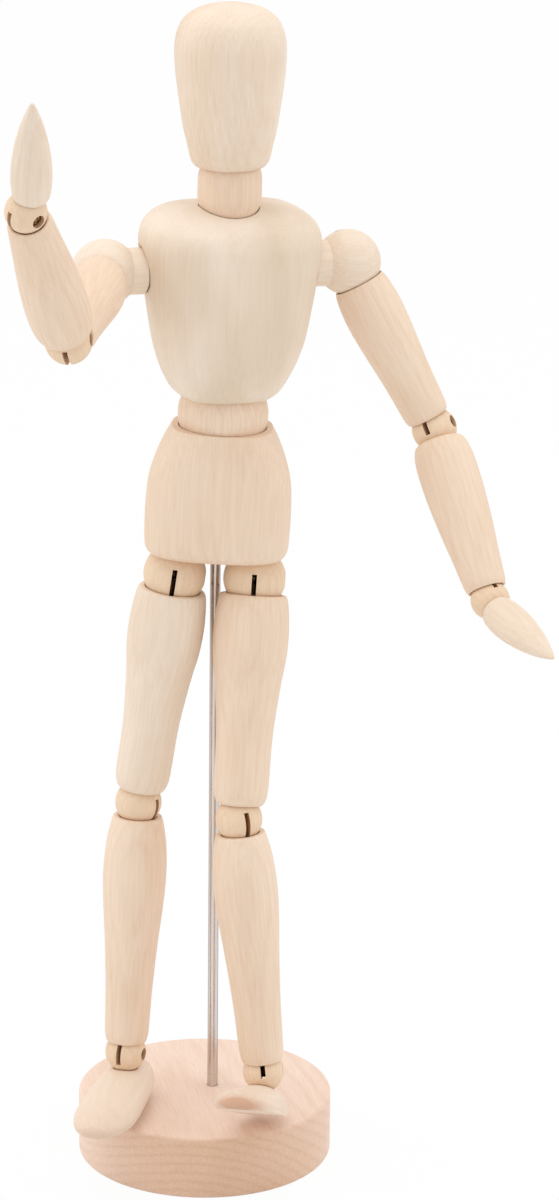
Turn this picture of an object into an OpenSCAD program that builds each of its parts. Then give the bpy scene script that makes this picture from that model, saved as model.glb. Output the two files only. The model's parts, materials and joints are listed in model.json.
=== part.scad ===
// Wooden artist's mannequin: turned limbs strung on springs between slotted
// balls, on a steel rod in a round base.
// Millimetres, Z up, origin at the centre of the underside of the base.
// The figure faces -Y. A list of two values gives its right side, then its left.

/* [Base and rod] */
// Diameter of the base disc
base_d = 70; // [60:1:90]
// Thickness of the base disc
base_h = 17.6; // [14:0.1:25]
// Rounding of the edges of the base
base_edge = 1; // [0.4:0.1:3]
// Diameter of the support rod
rod_d = 2.8; // [2.5:0.1:3.4]
// Distance of the rod to the right of the centre of the base, as seen from the front
rod_x = 2.1; // [-4:0.1:4]
// Distance of the rod behind the centre of the base
rod_y = 2; // [-2:0.1:4]

/* [Figure] */
// Height of the hip joints above the top of the base
hip_height = 150; // [149.6:0.1:165]
// Distance of the rod behind the middle of the pelvis
rod_back = 5.2; // [5.2:0.1:6.5]
// Distance of each hip joint from the middle of the pelvis
hip_x = 10.7; // [10.5:0.1:11.5]
// Height of the waist joint above the hip joints
waist_h = 45; // [44:0.5:47]
// Distance of each shoulder joint from the middle of the chest
shoulder_x = 33.5; // [33:0.1:34]
// Height of the shoulder joints above the waist joint
shoulder_h = 39.4; // [37:0.1:41]
// Length by which a shoulder ball's stub reaches towards the chest
shoulder_stub = 4; // [3.5:0.5:5]
// Height of the lower neck centre above the waist joint
neck_h = 58.7; // [58:0.1:59.5]
// Distance between the two round ends of the neck
neck_l = 4; // [2:0.5:6]
// Height of the head from its lower edge to its crown
head_l = 42.5; // [41.5:0.5:46]

/* [Limbs] */
// Hip joint to knee joint
thigh_l = 65; // [64.5:0.5:69]
// Knee joint to ankle joint
calf_l = 71.5; // [70:0.5:72]
// Shoulder joint to elbow joint
upper_arm_l = 50.5; // [49.5:0.5:54]
// Elbow joint to wrist joint
forearm_l = 49; // [48:0.5:53]
// Wrist joint to fingertip
hand_l = 32; // [31:0.5:35]
// Ankle joint to sole
foot_h = 11.7; // [11.3:0.1:12]

/* [Balls] */
// Radius of the hip balls
hip_r = 8.4; // [8.2:0.1:8.6]
// Radius of the knee balls
knee_r = 6.3; // [6.1:0.1:6.5]
// Radius of the ankle balls
ankle_r = 5.6; // [5.4:0.1:5.7]
// Radius of the shoulder balls
shoulder_r = 8.7; // [8.5:0.1:8.8]
// Radius of the elbow balls
elbow_r = 6; // [5.9:0.1:6.1]
// Radius of the wrist balls
wrist_r = 5.2; // [5.1:0.1:5.3]
// Radius of the waist ball
waist_r = 12; // [11.8:0.1:12.2]
// Radius of the neck
neck_r = 8.4; // [8.2:0.1:8.5]

/* [Pose] */
// Lean of the pelvis towards the figure's left
pelvis_lean = 2.5; // [-5:0.5:5]
// Turn of the pelvis on the rod
pelvis_turn = -1; // [-180:1:180]
// Lean of the chest on the waist ball
chest_lean = -1.2; // [-5:0.1:5]
// Turn of the chest on the waist ball
chest_turn = 20; // [-60:1:60]
// Lean of the head on the neck
head_lean = -1.5; // [-4:0.1:4]
// Sideways lean of each hip ball
hip_lean = [6, 0.5]; // [-8:0.5:8]
// Swing of each thigh in its hip slot
hip_bend = [-2, -13]; // [-30:1:30]
// Turn of each knee ball under its thigh
knee_turn = [58, 23.5]; // [-180:0.5:180]
// Sideways lean of each knee ball
knee_lean = [-1.5, -11.5]; // [-12:0.5:12]
// Swing of each calf in its knee slot
knee_bend = [-6, 4]; // [-40:1:40]
// Direction in which each ankle tips
ankle_turn = [-77, -23.5]; // [-180:0.5:180]
// Tip of each foot in its ankle slot
ankle_bend = [4.5, -21]; // [-40:0.5:40]
// Slant of each foot's peg in its ankle ball
foot_lean = [-1.5, 9.5]; // [-12:0.5:12]
// Turn of each foot on its peg
foot_turn = [7, -8.5]; // [-180:0.5:180]
// Turn of each shoulder ball against the chest
shoulder_turn = [-82, -14.5]; // [-180:0.5:180]
// Raise of each upper arm in its shoulder slot
arm_raise = [26.5, 26]; // [5:0.5:80]
// Direction in which each elbow bends
elbow_turn = [-11, -38.5]; // [-180:0.5:180]
// Swing of each elbow ball
elbow_bend = [-59.5, -26.5]; // [-60:0.5:60]
// Direction in which each wrist bends
wrist_turn = [45, 53]; // [-180:0.5:180]
// Swing of each wrist ball
wrist_bend = [-16.5, -43.5]; // [-55:0.5:55]
// Turn of each hand on its peg
hand_turn = [-52, -48.5]; // [-180:0.5:180]

/* [Hardware] */
// Width of the saw cut in a ball
slot_w = 1.3; // [1.2:0.1:1.5]
// Diameter of a cross screw's shank
screw_d = 1.2; // [1:0.1:1.2]
// Diameter of a cross screw's head
screw_head_d = 3.2; // [2.8:0.1:3.4]
// Diameter of the spring wire
wire_d = 0.7; // [0.5:0.05:0.7]
// Outer diameter of a coil
coil_d = 3; // [2.8:0.1:3.1]
// Diameter of the pegs in hands and feet
peg_d = 3; // [2.5:0.1:3.2]

/* [Hidden] */

RIGHT = 0;
LEFT = 1;
// Direction of each side along X
SIDE = [-1, 1];
FACETS = 96;

// Clearance between a ball and its seat, and round a turning peg or coil
gap = 0.3;
// Clearance of a glued or driven fit
fit = 0.1;
// Distance of each limb's rim from the centre of the ball that it seats on
hip_rim = 4.3;
knee_rim = 3.9;
ankle_rim = 3.4;
shoulder_rim = 6.2;
elbow_rim = 3.8;
wrist_rim = 3;
neck_rim = 3.6;
// Radius of the stub of a shoulder ball
stub_r = 6.1;
// How far a slot runs past the centre of its ball, in ball radii
slot_reach = 0.38;
// Depth of a screw head's seat, thickness of the head and depth of its cross
head_seat = 1.6;
head_t = 0.9;
cross_w = 0.5;
cross_l = 2;
cross_t = 0.4;
// Spring eyes: ring radius, sideways offset where two share a screw, hollow round them
eye_r = 1.3;
eye_offset = 1.05;
eye_hollow_r = 2.5;
eye_hollow_h = 2.1;
shank_d = 0.6;
bore_r = coil_d / 2 + gap + 0.1;
// Depth of the rod in the base and in the pelvis, measured from the hip joints
rod_in_base = 12;
rod_top = 16;
// Bridge of the hip spring and the pocket that it lies in
bridge_z = 22;
pocket_r = 4.6;
// Rings that hook round a coil, and how far each stands off the middle of the chest
hook_r = coil_d / 2 + gap + wire_d / 2;
hook_offset = 1;
// Screw eye in the head: height above the upper neck centre, ring, wire and shank
head_eye_z = 20;
head_eye_r = 1.5;
head_eye_wire = 0.9;
head_eye_l = 9;
// Height of the foot's axis above its sole
foot_axis_h = 1.4;
// How far each hand stands off the line of its peg
hand_shift = 1.2;
peg_in_ball = 0.45;
foot_peg_l = 5;
hand_peg_l = 7;

WOOD = [0.87, 0.73, 0.55];
BALL_WOOD = [0.83, 0.67, 0.48];
BASE_WOOD = [0.84, 0.66, 0.5];
STEEL = [0.66, 0.66, 0.67];

// Smooth curve through a few control points
function curve(p, steps = 4) = [
    for (i = [0 : len(p) - 2], k = [0 : steps - 1])
        let (a = p[max(i - 1, 0)], b = p[i], c = p[i + 1], d = p[min(i + 2, len(p) - 1)], t = k / steps)
            0.5 * (2 * b + (c - a) * t + (2 * a - 5 * b + 4 * c - d) * t ^ 2
                + (3 * b - a - 3 * c + d) * t ^ 3),
    p[len(p) - 1]
];

// Ring of points of a rounded rectangle; squareness 2 is an ellipse
function ring(section, squareness, count) = [
    for (i = [0 : count - 1])
        let (c = cos(360 * i / count), s = sin(360 * i / count))
            [
                section[1] * sign(c) * abs(c) ^ (2 / squareness),
                section[2] * sign(s) * abs(s) ^ (2 / squareness) - section[3],
                section[0]
            ]
];

// Solid through rounded-rectangle sections, each [height, half width, half depth, shift to -Y]
module loft(sections, squareness, count = 40, steps = 2) {
    rows = curve(sections, steps);
    last = len(rows) - 1;
    points = [for (row = rows) each ring(row, squareness, count)];
    walls = [
        for (r = [0 : last - 1], i = [0 : count - 1])
            let (a = r * count + i, b = r * count + (i + 1) % count)
                each [[a, a + count, b], [b, a + count, b + count]]
    ];
    floor_face = [for (i = [0 : count - 1]) i];
    top_face = [for (i = [0 : count - 1]) last * count + count - 1 - i];
    polyhedron(points = points, faces = concat([floor_face], walls, [top_face]));
}

// Solid turned on a lathe; the outline's points are [radius, height]
module turned(outline, steps = 4) {
    points = curve(outline, steps);
    closed = concat([[0, points[0][1]]], points, [[0, points[len(points) - 1][1]]]);
    rotate_extrude($fn = FACETS) polygon(closed);
}

// Limb along -Z, seated on a ball at each end and bored for its spring
module limb(outline, length, near_r, far_r) {
    difference() {
        turned(outline);
        sphere(r = near_r + gap, $fn = FACETS);
        translate([0, 0, -length]) sphere(r = far_r + gap, $fn = FACETS);
        translate([0, 0, -length]) cylinder(r = bore_r, h = length, $fn = FACETS);
    }
}

// Ball with a saw cut from -Z and a screw hole along X, its head at +X.
// A stub, where there is one, runs to +Z and ends round.
module slotted_ball(r, stub = 0) {
    difference() {
        union() {
            sphere(r = r, $fn = FACETS);
            if (stub > 0) intersection() {
                translate([0, 0, stub]) sphere(r = r, $fn = FACETS);
                cylinder(r = stub_r, h = stub + r, $fn = FACETS);
            }
        }
        translate([-slot_w / 2, -r, -r]) cube([slot_w, 2 * r, r * (1 + slot_reach)]);
        rotate([0, 90, 0]) translate([0, 0, head_seat - r])
            cylinder(d = screw_d + 2 * fit, h = 2 * r - head_seat, $fn = FACETS);
        rotate([0, 90, 0]) translate([0, 0, r - head_seat])
            cylinder(d = screw_head_d + 2 * fit, h = head_seat, $fn = FACETS);
        children();
    }
}

// Slotted ball, hollow to +Z for the eye of a second spring
module spring_ball(r, stub = 0) {
    slotted_ball(r, stub) translate([0, 0, -eye_hollow_h])
        cylinder(r = eye_hollow_r, h = eye_hollow_h + stub + r, $fn = FACETS);
}

// Slotted ball, drilled towards +Z for a glued peg, with the hole slanted about Y
module peg_ball(r, slant = 0) {
    slotted_ball(r)
        rotate([0, slant, 0]) translate([0, 0, r * peg_in_ball])
            cylinder(d = peg_d + 2 * fit, h = r, $fn = FACETS);
}

// Cross-head screw in a ball of radius r
module cross_screw(r) {
    rotate([0, 90, 0]) {
        translate([0, 0, head_seat - r]) cylinder(d = screw_d, h = 2 * r - 2 * head_seat, $fn = FACETS);
        translate([0, 0, r - head_seat]) difference() {
            cylinder(d = screw_head_d, h = head_t, $fn = FACETS);
            for (turn = [0, 90]) rotate([0, 0, turn])
                translate([-cross_l / 2, -cross_w / 2, head_t - cross_t]) cube([cross_l, cross_w, head_t]);
        }
    }
}

// Eye of a spring round a screw along X, with its shank running to -Z
module spring_eye(offset, reach) {
    translate([offset, 0, 0]) {
        rotate([0, 90, 0]) rotate_extrude($fn = FACETS)
            translate([eye_r, 0]) circle(d = wire_d, $fn = 24);
        translate([0, 0, -reach]) cylinder(d = shank_d, h = reach - eye_r, $fn = 24);
    }
}

// Close-wound coil along -Z, its end turns drawn across as bars
module coil(from, to) {
    difference() {
        translate([0, 0, -to]) cylinder(d = coil_d, h = to - from, $fn = FACETS);
        translate([0, 0, -to]) cylinder(d = coil_d - 2 * wire_d, h = to - from, $fn = FACETS);
    }
    for (end = [from, to - wire_d]) translate([0, 0, -end - wire_d / 2])
        cube([coil_d - wire_d, wire_d, wire_d], center = true);
}

// Spring along a limb, from the eye at its origin to the eye at -length
module limb_spring(length, near, far, near_offset, near_turn, far_offset, far_turn, far_lean = 0) {
    coil(near, length - far);
    rotate([0, 0, near_turn]) spring_eye(near_offset, near + wire_d);
    translate([0, 0, -length]) rotate([0, 0, far_turn]) rotate([0, far_lean, 0])
        rotate([180, 0, 0]) spring_eye(far_offset, far + wire_d);
}

// Where each piece stands in the pose
module at_pelvis() {
    translate([rod_x, rod_y, base_h + hip_height]) rotate([0, pelvis_lean, 0]) rotate([0, 0, pelvis_turn])
        translate([0, -rod_back, 0]) children();
}
module at_chest() {
    at_pelvis() translate([0, 0, waist_h]) rotate([0, chest_lean, 0]) rotate([0, 0, chest_turn])
        children();
}
module at_head() {
    at_chest() translate([0, 0, neck_h + neck_l]) rotate([0, head_lean, 0]) children();
}
module at_hip(s) {
    at_pelvis() translate([SIDE[s] * hip_x, 0, 0]) rotate([0, hip_lean[s], 0]) children();
}
module at_thigh(s) {
    at_hip(s) rotate([hip_bend[s], 0, 0]) children();
}
module at_knee(s) {
    at_thigh(s) translate([0, 0, -thigh_l]) rotate([0, 0, knee_turn[s]]) rotate([0, knee_lean[s], 0])
        children();
}
module at_calf(s) {
    at_knee(s) rotate([knee_bend[s], 0, 0]) children();
}
module at_ankle(s) {
    at_calf(s) translate([0, 0, -calf_l]) rotate([0, 0, ankle_turn[s]]) rotate([ankle_bend[s], 0, 0])
        children();
}
module at_foot(s) {
    at_ankle(s) rotate([0, foot_lean[s], 0]) rotate([0, 0, foot_turn[s]]) children();
}
module at_shoulder(s) {
    at_chest() translate([SIDE[s] * shoulder_x, 0, shoulder_h]) rotate([shoulder_turn[s], 0, 0])
        children();
}
module at_arm(s) {
    at_shoulder(s) rotate([0, -SIDE[s] * arm_raise[s], 0]) children();
}
module at_elbow(s) {
    at_arm(s) translate([0, 0, -upper_arm_l]) rotate([0, 0, elbow_turn[s]]) rotate([elbow_bend[s], 0, 0])
        children();
}
module at_wrist(s) {
    at_elbow(s) translate([0, 0, -forearm_l]) rotate([0, 0, wrist_turn[s]]) rotate([wrist_bend[s], 0, 0])
        children();
}
module at_hand(s) {
    at_wrist(s) rotate([0, 0, hand_turn[s]]) children();
}
// A shoulder ball's slot opens outwards and its screw runs fore and aft
module shoulder_seat(s) {
    rotate([0, -SIDE[s] * 90, 0]) rotate([0, 0, 90]) children();
}
// A ball that is slotted towards the limb above it
module slot_up() {
    rotate([180, 0, 0]) children();
}

// Base disc, with a blind hole for the rod
module base_disc() {
    r = base_d / 2;
    low_arc = [for (a = [-90 : 15 : 0]) [r - base_edge + base_edge * cos(a), base_edge + base_edge * sin(a)]];
    high_arc = [for (a = [0 : 15 : 90])
        [r - base_edge + base_edge * cos(a), base_h - base_edge + base_edge * sin(a)]];
    color(BASE_WOOD) difference() {
        rotate_extrude($fn = FACETS) polygon(concat([[0, 0]], low_arc, high_arc, [[0, base_h]]));
        translate([rod_x, rod_y, base_h - rod_in_base])
            cylinder(d = rod_d + 2 * fit, h = rod_in_base, $fn = FACETS);
    }
}

// Steel rod that carries the figure
module support_rod() {
    color(STEEL) translate([rod_x, rod_y, base_h - rod_in_base])
        cylinder(d = rod_d, h = rod_in_base + hip_height + rod_top, $fn = FACETS);
}

// Pelvis block, dished for the hip balls and the waist ball
module pelvis() {
    color(WOOD) at_pelvis() difference() {
        loft([
            [6, 16.6, 9.6, 0], [6.7, 18, 11.4, 0], [8.6, 19.1, 12.7, 0], [13, 19.4, 13.2, 0],
            [20, 19.4, 13.5, 0], [27, 18.9, 13.5, 0], [33, 17.3, 13.3, 0], [38, 15.3, 13, 0],
            [41.6, 13.4, 12.6, 0]
        ], 2.7);
        for (s = [RIGHT, LEFT]) translate([SIDE[s] * hip_x, 0, 0]) {
            sphere(r = hip_r + gap, $fn = FACETS);
            cylinder(r = bore_r, h = bridge_z, $fn = FACETS);
        }
        translate([0, 0, waist_h]) sphere(r = waist_r + gap, $fn = FACETS);
        translate([-hip_x, 0, bridge_z]) rotate([0, 90, 0]) cylinder(r = bore_r, h = 2 * hip_x, $fn = FACETS);
        for (s = [RIGHT, LEFT]) translate([SIDE[s] * hip_x, 0, bridge_z]) sphere(r = bore_r, $fn = FACETS);
        translate([0, 0, bridge_z - hook_r - wire_d])
            cylinder(r = pocket_r, h = waist_h - bridge_z, $fn = FACETS);
        translate([0, rod_back, 0]) rotate([0, 0, -pelvis_turn]) rotate([0, -pelvis_lean, 0])
            translate([0, 0, -waist_h]) cylinder(d = rod_d + 2 * gap, h = waist_h + rod_top, $fn = FACETS);
    }
}

// Ball between pelvis and chest, with the spring's hole down the middle
module waist_ball() {
    color(BALL_WOOD) at_pelvis() translate([0, 0, waist_h]) difference() {
        sphere(r = waist_r, $fn = FACETS);
        cylinder(r = bore_r, h = 2 * waist_r, center = true, $fn = FACETS);
    }
}

// Chest block, dished for the waist ball, the neck and the shoulder balls
module chest() {
    color(WOOD) at_chest() difference() {
        loft([
            [5.6, 12.1, 12, 0], [6.6, 13.4, 12.6, 0.3], [8.4, 14.9, 12.9, 0.8], [13, 17.4, 13.1, 1.6],
            [18, 19.3, 13.3, 2.2], [22.5, 20.5, 13.4, 2.5], [31.8, 22.2, 13.6, 2.5],
            [37.4, 23, 13.7, 2.4], [43, 23.9, 13.6, 2.1], [47, 24.3, 13.4, 1.7], [50.2, 23.7, 12.6, 0.8],
            [52.4, 22.3, 10.9, -0.8], [54.2, 19.8, 8.7, -2.6], [55.4, 16.8, 6.6, -4], [55.8, 14.5, 5.6, -4.6]
        ], 2.7);
        sphere(r = waist_r + gap, $fn = FACETS);
        translate([0, 0, neck_h]) sphere(r = neck_r + gap, $fn = FACETS);
        for (s = [RIGHT, LEFT]) translate([SIDE[s] * (shoulder_x - shoulder_stub), 0, shoulder_h])
            sphere(r = shoulder_r + gap, $fn = FACETS);
        translate([0, 0, shoulder_h]) rotate([0, 90, 0])
            cylinder(r = bore_r, h = 2 * shoulder_x, center = true, $fn = FACETS);
        cylinder(r = bore_r, h = neck_h, $fn = FACETS);
        translate([0, 0, shoulder_h]) sphere(r = pocket_r, $fn = FACETS);
    }
}

// Neck: a short barrel with round ends
module neck_ball() {
    color(BALL_WOOD) at_chest() translate([0, 0, neck_h]) difference() {
        union() {
            sphere(r = neck_r, $fn = FACETS);
            cylinder(r = neck_r, h = neck_l, $fn = FACETS);
            translate([0, 0, neck_l]) sphere(r = neck_r, $fn = FACETS);
        }
        translate([0, 0, -neck_r]) cylinder(r = bore_r, h = neck_l + 2 * neck_r, $fn = FACETS);
    }
}

// Egg-shaped head, hollowed from below for the neck and its spring
module head() {
    color(WOOD) at_head() difference() {
        translate([0, 0, neck_rim]) turned([
            [8.4, 0], [9.4, 0.5], [10.4, 2.2], [11.2, 5.8], [12.2, 10], [13, 15], [13.7, 20],
            [14.3, 25], [14.55, 29.5], [14.35, 33], [13.5, 36.2], [11.8, 38.9], [8.4, 41.1],
            [4.2, head_l - 0.3], [0.4, head_l]
        ]);
        sphere(r = neck_r + gap, $fn = FACETS);
        cylinder(r = eye_hollow_r, h = head_eye_z + eye_hollow_r, $fn = FACETS);
        translate([0, 0, head_eye_z]) cylinder(d = head_eye_wire + 2 * fit, h = head_eye_l, $fn = FACETS);
    }
}

module hip_ball(s) {
    color(BALL_WOOD) at_hip(s) spring_ball(hip_r);
}
module thigh(s) {
    color(WOOD) at_thigh(s) limb([
        [8.3, -hip_rim], [8.9, -4.6], [9.4, -6], [9.9, -10], [10.15, -15], [9.9, -21], [9, -27.5],
        [8.3, -34], [7.75, -40], [7.5, -46], [7.45, -53], [7.3, -57.5], [6.7, -60],
        [5.9, knee_rim - thigh_l]
    ], thigh_l, hip_r, knee_r);
}
module knee_ball(s) {
    color(BALL_WOOD) at_knee(s) spring_ball(knee_r);
}
module calf(s) {
    color(WOOD) at_calf(s) limb([
        [6.2, -knee_rim], [6.7, -4.2], [7.3, -6.5], [8.1, -11], [8.55, -16.5], [8.6, -22], [8.2, -29],
        [7.5, -37], [6.9, -45], [6.4, -54], [6.15, -61.5], [5.95, -66], [5.5, ankle_rim - calf_l]
    ], calf_l, knee_r, ankle_r);
}
module ankle_ball(s) {
    color(BALL_WOOD) at_ankle(s) slot_up() peg_ball(ankle_r, -foot_lean[s]);
}
module foot(s) {
    color(WOOD) at_foot(s) difference() {
        translate([0, 0, foot_axis_h - foot_h]) rotate([90, 0, 0]) loft([
            [-10.4, 0.4, 0.3, -2.8], [-9.9, 3.2, 2, -2.6], [-8.4, 5.2, 3.6, -1.8], [-5, 6.8, 5.4, -0.5],
            [0, 7.4, 6.3, 0], [5, 7.8, 6.3, 0], [11, 8.2, 5.9, 0], [17.5, 8.5, 5.2, 0], [24, 8.2, 4.3, 0],
            [29.5, 6.6, 3.2, 0], [32.7, 4.1, 2.1, 0], [33.8, 1.9, 1, 0], [34, 0.4, 0.3, 0]
        ], 2);
        translate([0, 0, -2 * foot_h]) cube([6, 6, 2] * foot_h, center = true);
        sphere(r = ankle_r + gap, $fn = FACETS);
        translate([0, 0, -ankle_r - foot_peg_l]) cylinder(d = peg_d + 2 * gap, h = foot_peg_l, $fn = FACETS);
    }
}

module shoulder_ball(s) {
    color(BALL_WOOD) at_shoulder(s) shoulder_seat(s) spring_ball(shoulder_r, shoulder_stub);
}
module upper_arm(s) {
    color(WOOD) at_arm(s) limb([
        [6.8, -shoulder_rim], [7.4, -8.4], [7.9, -13], [7.9, -18], [7.4, -25], [6.8, -32], [6.4, -38],
        [6.2, -43], [6, -45.5], [5.6, elbow_rim - upper_arm_l]
    ], upper_arm_l, shoulder_r, elbow_r);
}
module elbow_ball(s) {
    color(BALL_WOOD) at_elbow(s) slot_up() spring_ball(elbow_r);
}
module forearm(s) {
    color(WOOD) at_elbow(s) limb([
        [6.2, -elbow_rim], [6.9, -4.6], [7.6, -7], [7.95, -11], [7.9, -18], [7.3, -27], [6.4, -36],
        [5.9, -41.5], [5.6, -44.5], [5.1, wrist_rim - forearm_l]
    ], forearm_l, elbow_r, wrist_r);
}
module wrist_ball(s) {
    color(BALL_WOOD) at_wrist(s) slot_up() peg_ball(wrist_r);
}
module hand(s) {
    color(WOOD) at_hand(s) difference() {
        translate([-SIDE[s] * hand_shift, 0, 0]) loft([
            [-hand_l, 0.4, 0.4, 0], [-29.6, 1.5, 1.2, 0], [-25, 3, 2.3, 0], [-19.5, 4.2, 3.2, 0],
            [-14, 4.9, 3.8, 0], [-9, 5, 4, 0], [-5.4, 4.6, 4, 0], [-4.2, 4.1, 3.7, 0], [-3.6, 3.4, 3.2, 0]
        ], 2, 32);
        sphere(r = wrist_r + gap, $fn = FACETS);
        translate([0, 0, -wrist_r - hand_peg_l]) cylinder(d = peg_d + 2 * gap, h = hand_peg_l, $fn = FACETS);
    }
}

module hip_screw(s) {
    color(STEEL) at_hip(s) cross_screw(hip_r);
}
module knee_screw(s) {
    color(STEEL) at_knee(s) cross_screw(knee_r);
}
module ankle_screw(s) {
    color(STEEL) at_ankle(s) slot_up() cross_screw(ankle_r);
}
module shoulder_screw(s) {
    color(STEEL) at_shoulder(s) shoulder_seat(s) cross_screw(shoulder_r);
}
module elbow_screw(s) {
    color(STEEL) at_elbow(s) slot_up() cross_screw(elbow_r);
}
module wrist_screw(s) {
    color(STEEL) at_wrist(s) slot_up() cross_screw(wrist_r);
}

// Spring bent like a staple, one leg in each hip ball
module hip_spring() {
    color(STEEL) at_pelvis() {
        for (s = [RIGHT, LEFT]) {
            translate([SIDE[s] * hip_x, 0, 0]) rotate([180, 0, 0]) {
                coil(hip_r + wire_d, bridge_z);
                rotate([0, -hip_lean[s], 0]) spring_eye(SIDE[s] * eye_offset, hip_r + 2 * wire_d);
            }
            translate([SIDE[s] * hip_x, 0, bridge_z]) sphere(d = coil_d, $fn = FACETS);
        }
        translate([0, 0, bridge_z]) rotate([0, 90, 0])
            cylinder(d = coil_d, h = 2 * hip_x, center = true, $fn = FACETS);
    }
}
// Ring hooked round a coil along X, with its shank running to -Z
module coil_hook(reach) {
    rotate([0, 90, 0]) rotate_extrude($fn = FACETS) translate([hook_r, 0]) circle(d = wire_d, $fn = 24);
    translate([0, 0, -reach]) cylinder(d = shank_d, h = reach - hook_r, $fn = 24);
}
// Spring through the waist ball, from the hip spring's bridge to the shoulder spring
module waist_spring() {
    low = waist_h - bridge_z;
    reach = 3 * hook_r;
    color(STEEL) at_chest() {
        translate([0, 0, shoulder_h]) coil(reach - wire_d, shoulder_h + low - reach + wire_d);
        translate([-hook_offset, 0, shoulder_h]) coil_hook(reach);
        translate([0, 0, -low]) rotate([0, 0, -chest_turn]) rotate([180, 0, 0]) coil_hook(reach);
    }
}
// Spring across the chest between the two shoulder balls
module shoulder_spring() {
    half = shoulder_x - shoulder_r - 2 * wire_d;
    color(STEEL) at_chest() translate([0, 0, shoulder_h]) {
        rotate([0, 90, 0]) coil(-half, half);
        for (s = [RIGHT, LEFT]) translate([SIDE[s] * shoulder_x, 0, 0]) rotate([shoulder_turn[s], 0, 0])
            rotate([0, SIDE[s] * 90, 0]) rotate([0, 0, 90])
                spring_eye(eye_offset, shoulder_x - half + wire_d);
    }
}
// Spring through the neck, from the shoulder spring to the screw eye in the head
module neck_spring() {
    top = neck_h + neck_l + head_eye_z - eye_r;
    reach = 3 * hook_r;
    color(STEEL) at_chest() {
        translate([0, 0, top]) {
            coil(eye_r + 2 * wire_d, top - shoulder_h - reach + wire_d);
            spring_eye(0, eye_r + 3 * wire_d);
        }
        translate([hook_offset, 0, shoulder_h]) rotate([180, 0, 0]) coil_hook(reach);
    }
}
// Screw eye driven up into the head
module head_screw_eye() {
    color(STEEL) at_head() translate([0, 0, head_eye_z]) {
        rotate([90, 0, 0]) rotate_extrude($fn = FACETS) translate([head_eye_r, 0])
            circle(d = head_eye_wire, $fn = 24);
        translate([0, 0, head_eye_r]) cylinder(d = head_eye_wire, h = head_eye_l - head_eye_r, $fn = FACETS);
    }
}

module thigh_spring(s) {
    color(STEEL) at_thigh(s) limb_spring(thigh_l, hip_r + wire_d, knee_r + wire_d,
        0, 0, eye_offset, knee_turn[s], knee_lean[s]);
}
module calf_spring(s) {
    color(STEEL) at_calf(s) limb_spring(calf_l, knee_r + wire_d, ankle_r + wire_d, 0, 0, 0, ankle_turn[s]);
}
module upper_arm_spring(s) {
    color(STEEL) at_arm(s) limb_spring(upper_arm_l, shoulder_r + wire_d, elbow_r + wire_d,
        0, 90, 0, elbow_turn[s]);
}
module forearm_spring(s) {
    color(STEEL) at_elbow(s) limb_spring(forearm_l, elbow_r + wire_d, wrist_r + wire_d,
        eye_offset, 0, 0, wrist_turn[s]);
}

module hand_peg(s) {
    color(WOOD) at_wrist(s) translate([0, 0, -wrist_r - hand_peg_l + gap])
        cylinder(d = peg_d, h = wrist_r * (1 - peg_in_ball) + hand_peg_l - gap, $fn = FACETS);
}
module foot_peg(s) {
    color(WOOD) at_foot(s) translate([0, 0, -ankle_r - foot_peg_l + gap])
        cylinder(d = peg_d, h = ankle_r * (1 - peg_in_ball) + foot_peg_l - gap, $fn = FACETS);
}

base_disc();
support_rod();
pelvis();
waist_ball();
chest();
neck_ball();
head();
hip_ball(RIGHT);  // right_hip_ball
thigh(RIGHT);  // right_thigh
knee_ball(RIGHT);  // right_knee_ball
calf(RIGHT);  // right_calf
ankle_ball(RIGHT);  // right_ankle_ball
foot(RIGHT);  // right_foot
hip_ball(LEFT);  // left_hip_ball
thigh(LEFT);  // left_thigh
knee_ball(LEFT);  // left_knee_ball
calf(LEFT);  // left_calf
ankle_ball(LEFT);  // left_ankle_ball
foot(LEFT);  // left_foot
shoulder_ball(RIGHT);  // right_shoulder_ball
upper_arm(RIGHT);  // right_upper_arm
elbow_ball(RIGHT);  // right_elbow_ball
forearm(RIGHT);  // right_forearm
wrist_ball(RIGHT);  // right_wrist_ball
hand(RIGHT);  // right_hand
shoulder_ball(LEFT);  // left_shoulder_ball
upper_arm(LEFT);  // left_upper_arm
elbow_ball(LEFT);  // left_elbow_ball
forearm(LEFT);  // left_forearm
wrist_ball(LEFT);  // left_wrist_ball
hand(LEFT);  // left_hand
hip_screw(RIGHT);  // right_hip_screw
hip_screw(LEFT);  // left_hip_screw
knee_screw(RIGHT);  // right_knee_screw
knee_screw(LEFT);  // left_knee_screw
ankle_screw(RIGHT);  // right_ankle_screw
ankle_screw(LEFT);  // left_ankle_screw
shoulder_screw(RIGHT);  // right_shoulder_screw
shoulder_screw(LEFT);  // left_shoulder_screw
elbow_screw(RIGHT);  // right_elbow_screw
elbow_screw(LEFT);  // left_elbow_screw
wrist_screw(RIGHT);  // right_wrist_screw
wrist_screw(LEFT);  // left_wrist_screw
hip_spring();
waist_spring();
shoulder_spring();
neck_spring();
head_screw_eye();
thigh_spring(RIGHT);  // right_thigh_spring
thigh_spring(LEFT);  // left_thigh_spring
calf_spring(RIGHT);  // right_calf_spring
calf_spring(LEFT);  // left_calf_spring
upper_arm_spring(RIGHT);  // right_upper_arm_spring
upper_arm_spring(LEFT);  // left_upper_arm_spring
forearm_spring(RIGHT);  // right_forearm_spring
forearm_spring(LEFT);  // left_forearm_spring
hand_peg(RIGHT);  // right_hand_peg
hand_peg(LEFT);  // left_hand_peg
foot_peg(RIGHT);  // right_foot_peg
foot_peg(LEFT);  // left_foot_peg
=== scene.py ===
import json
import math

import bmesh
import bpy
from mathutils import Euler, Matrix, Vector

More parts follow.
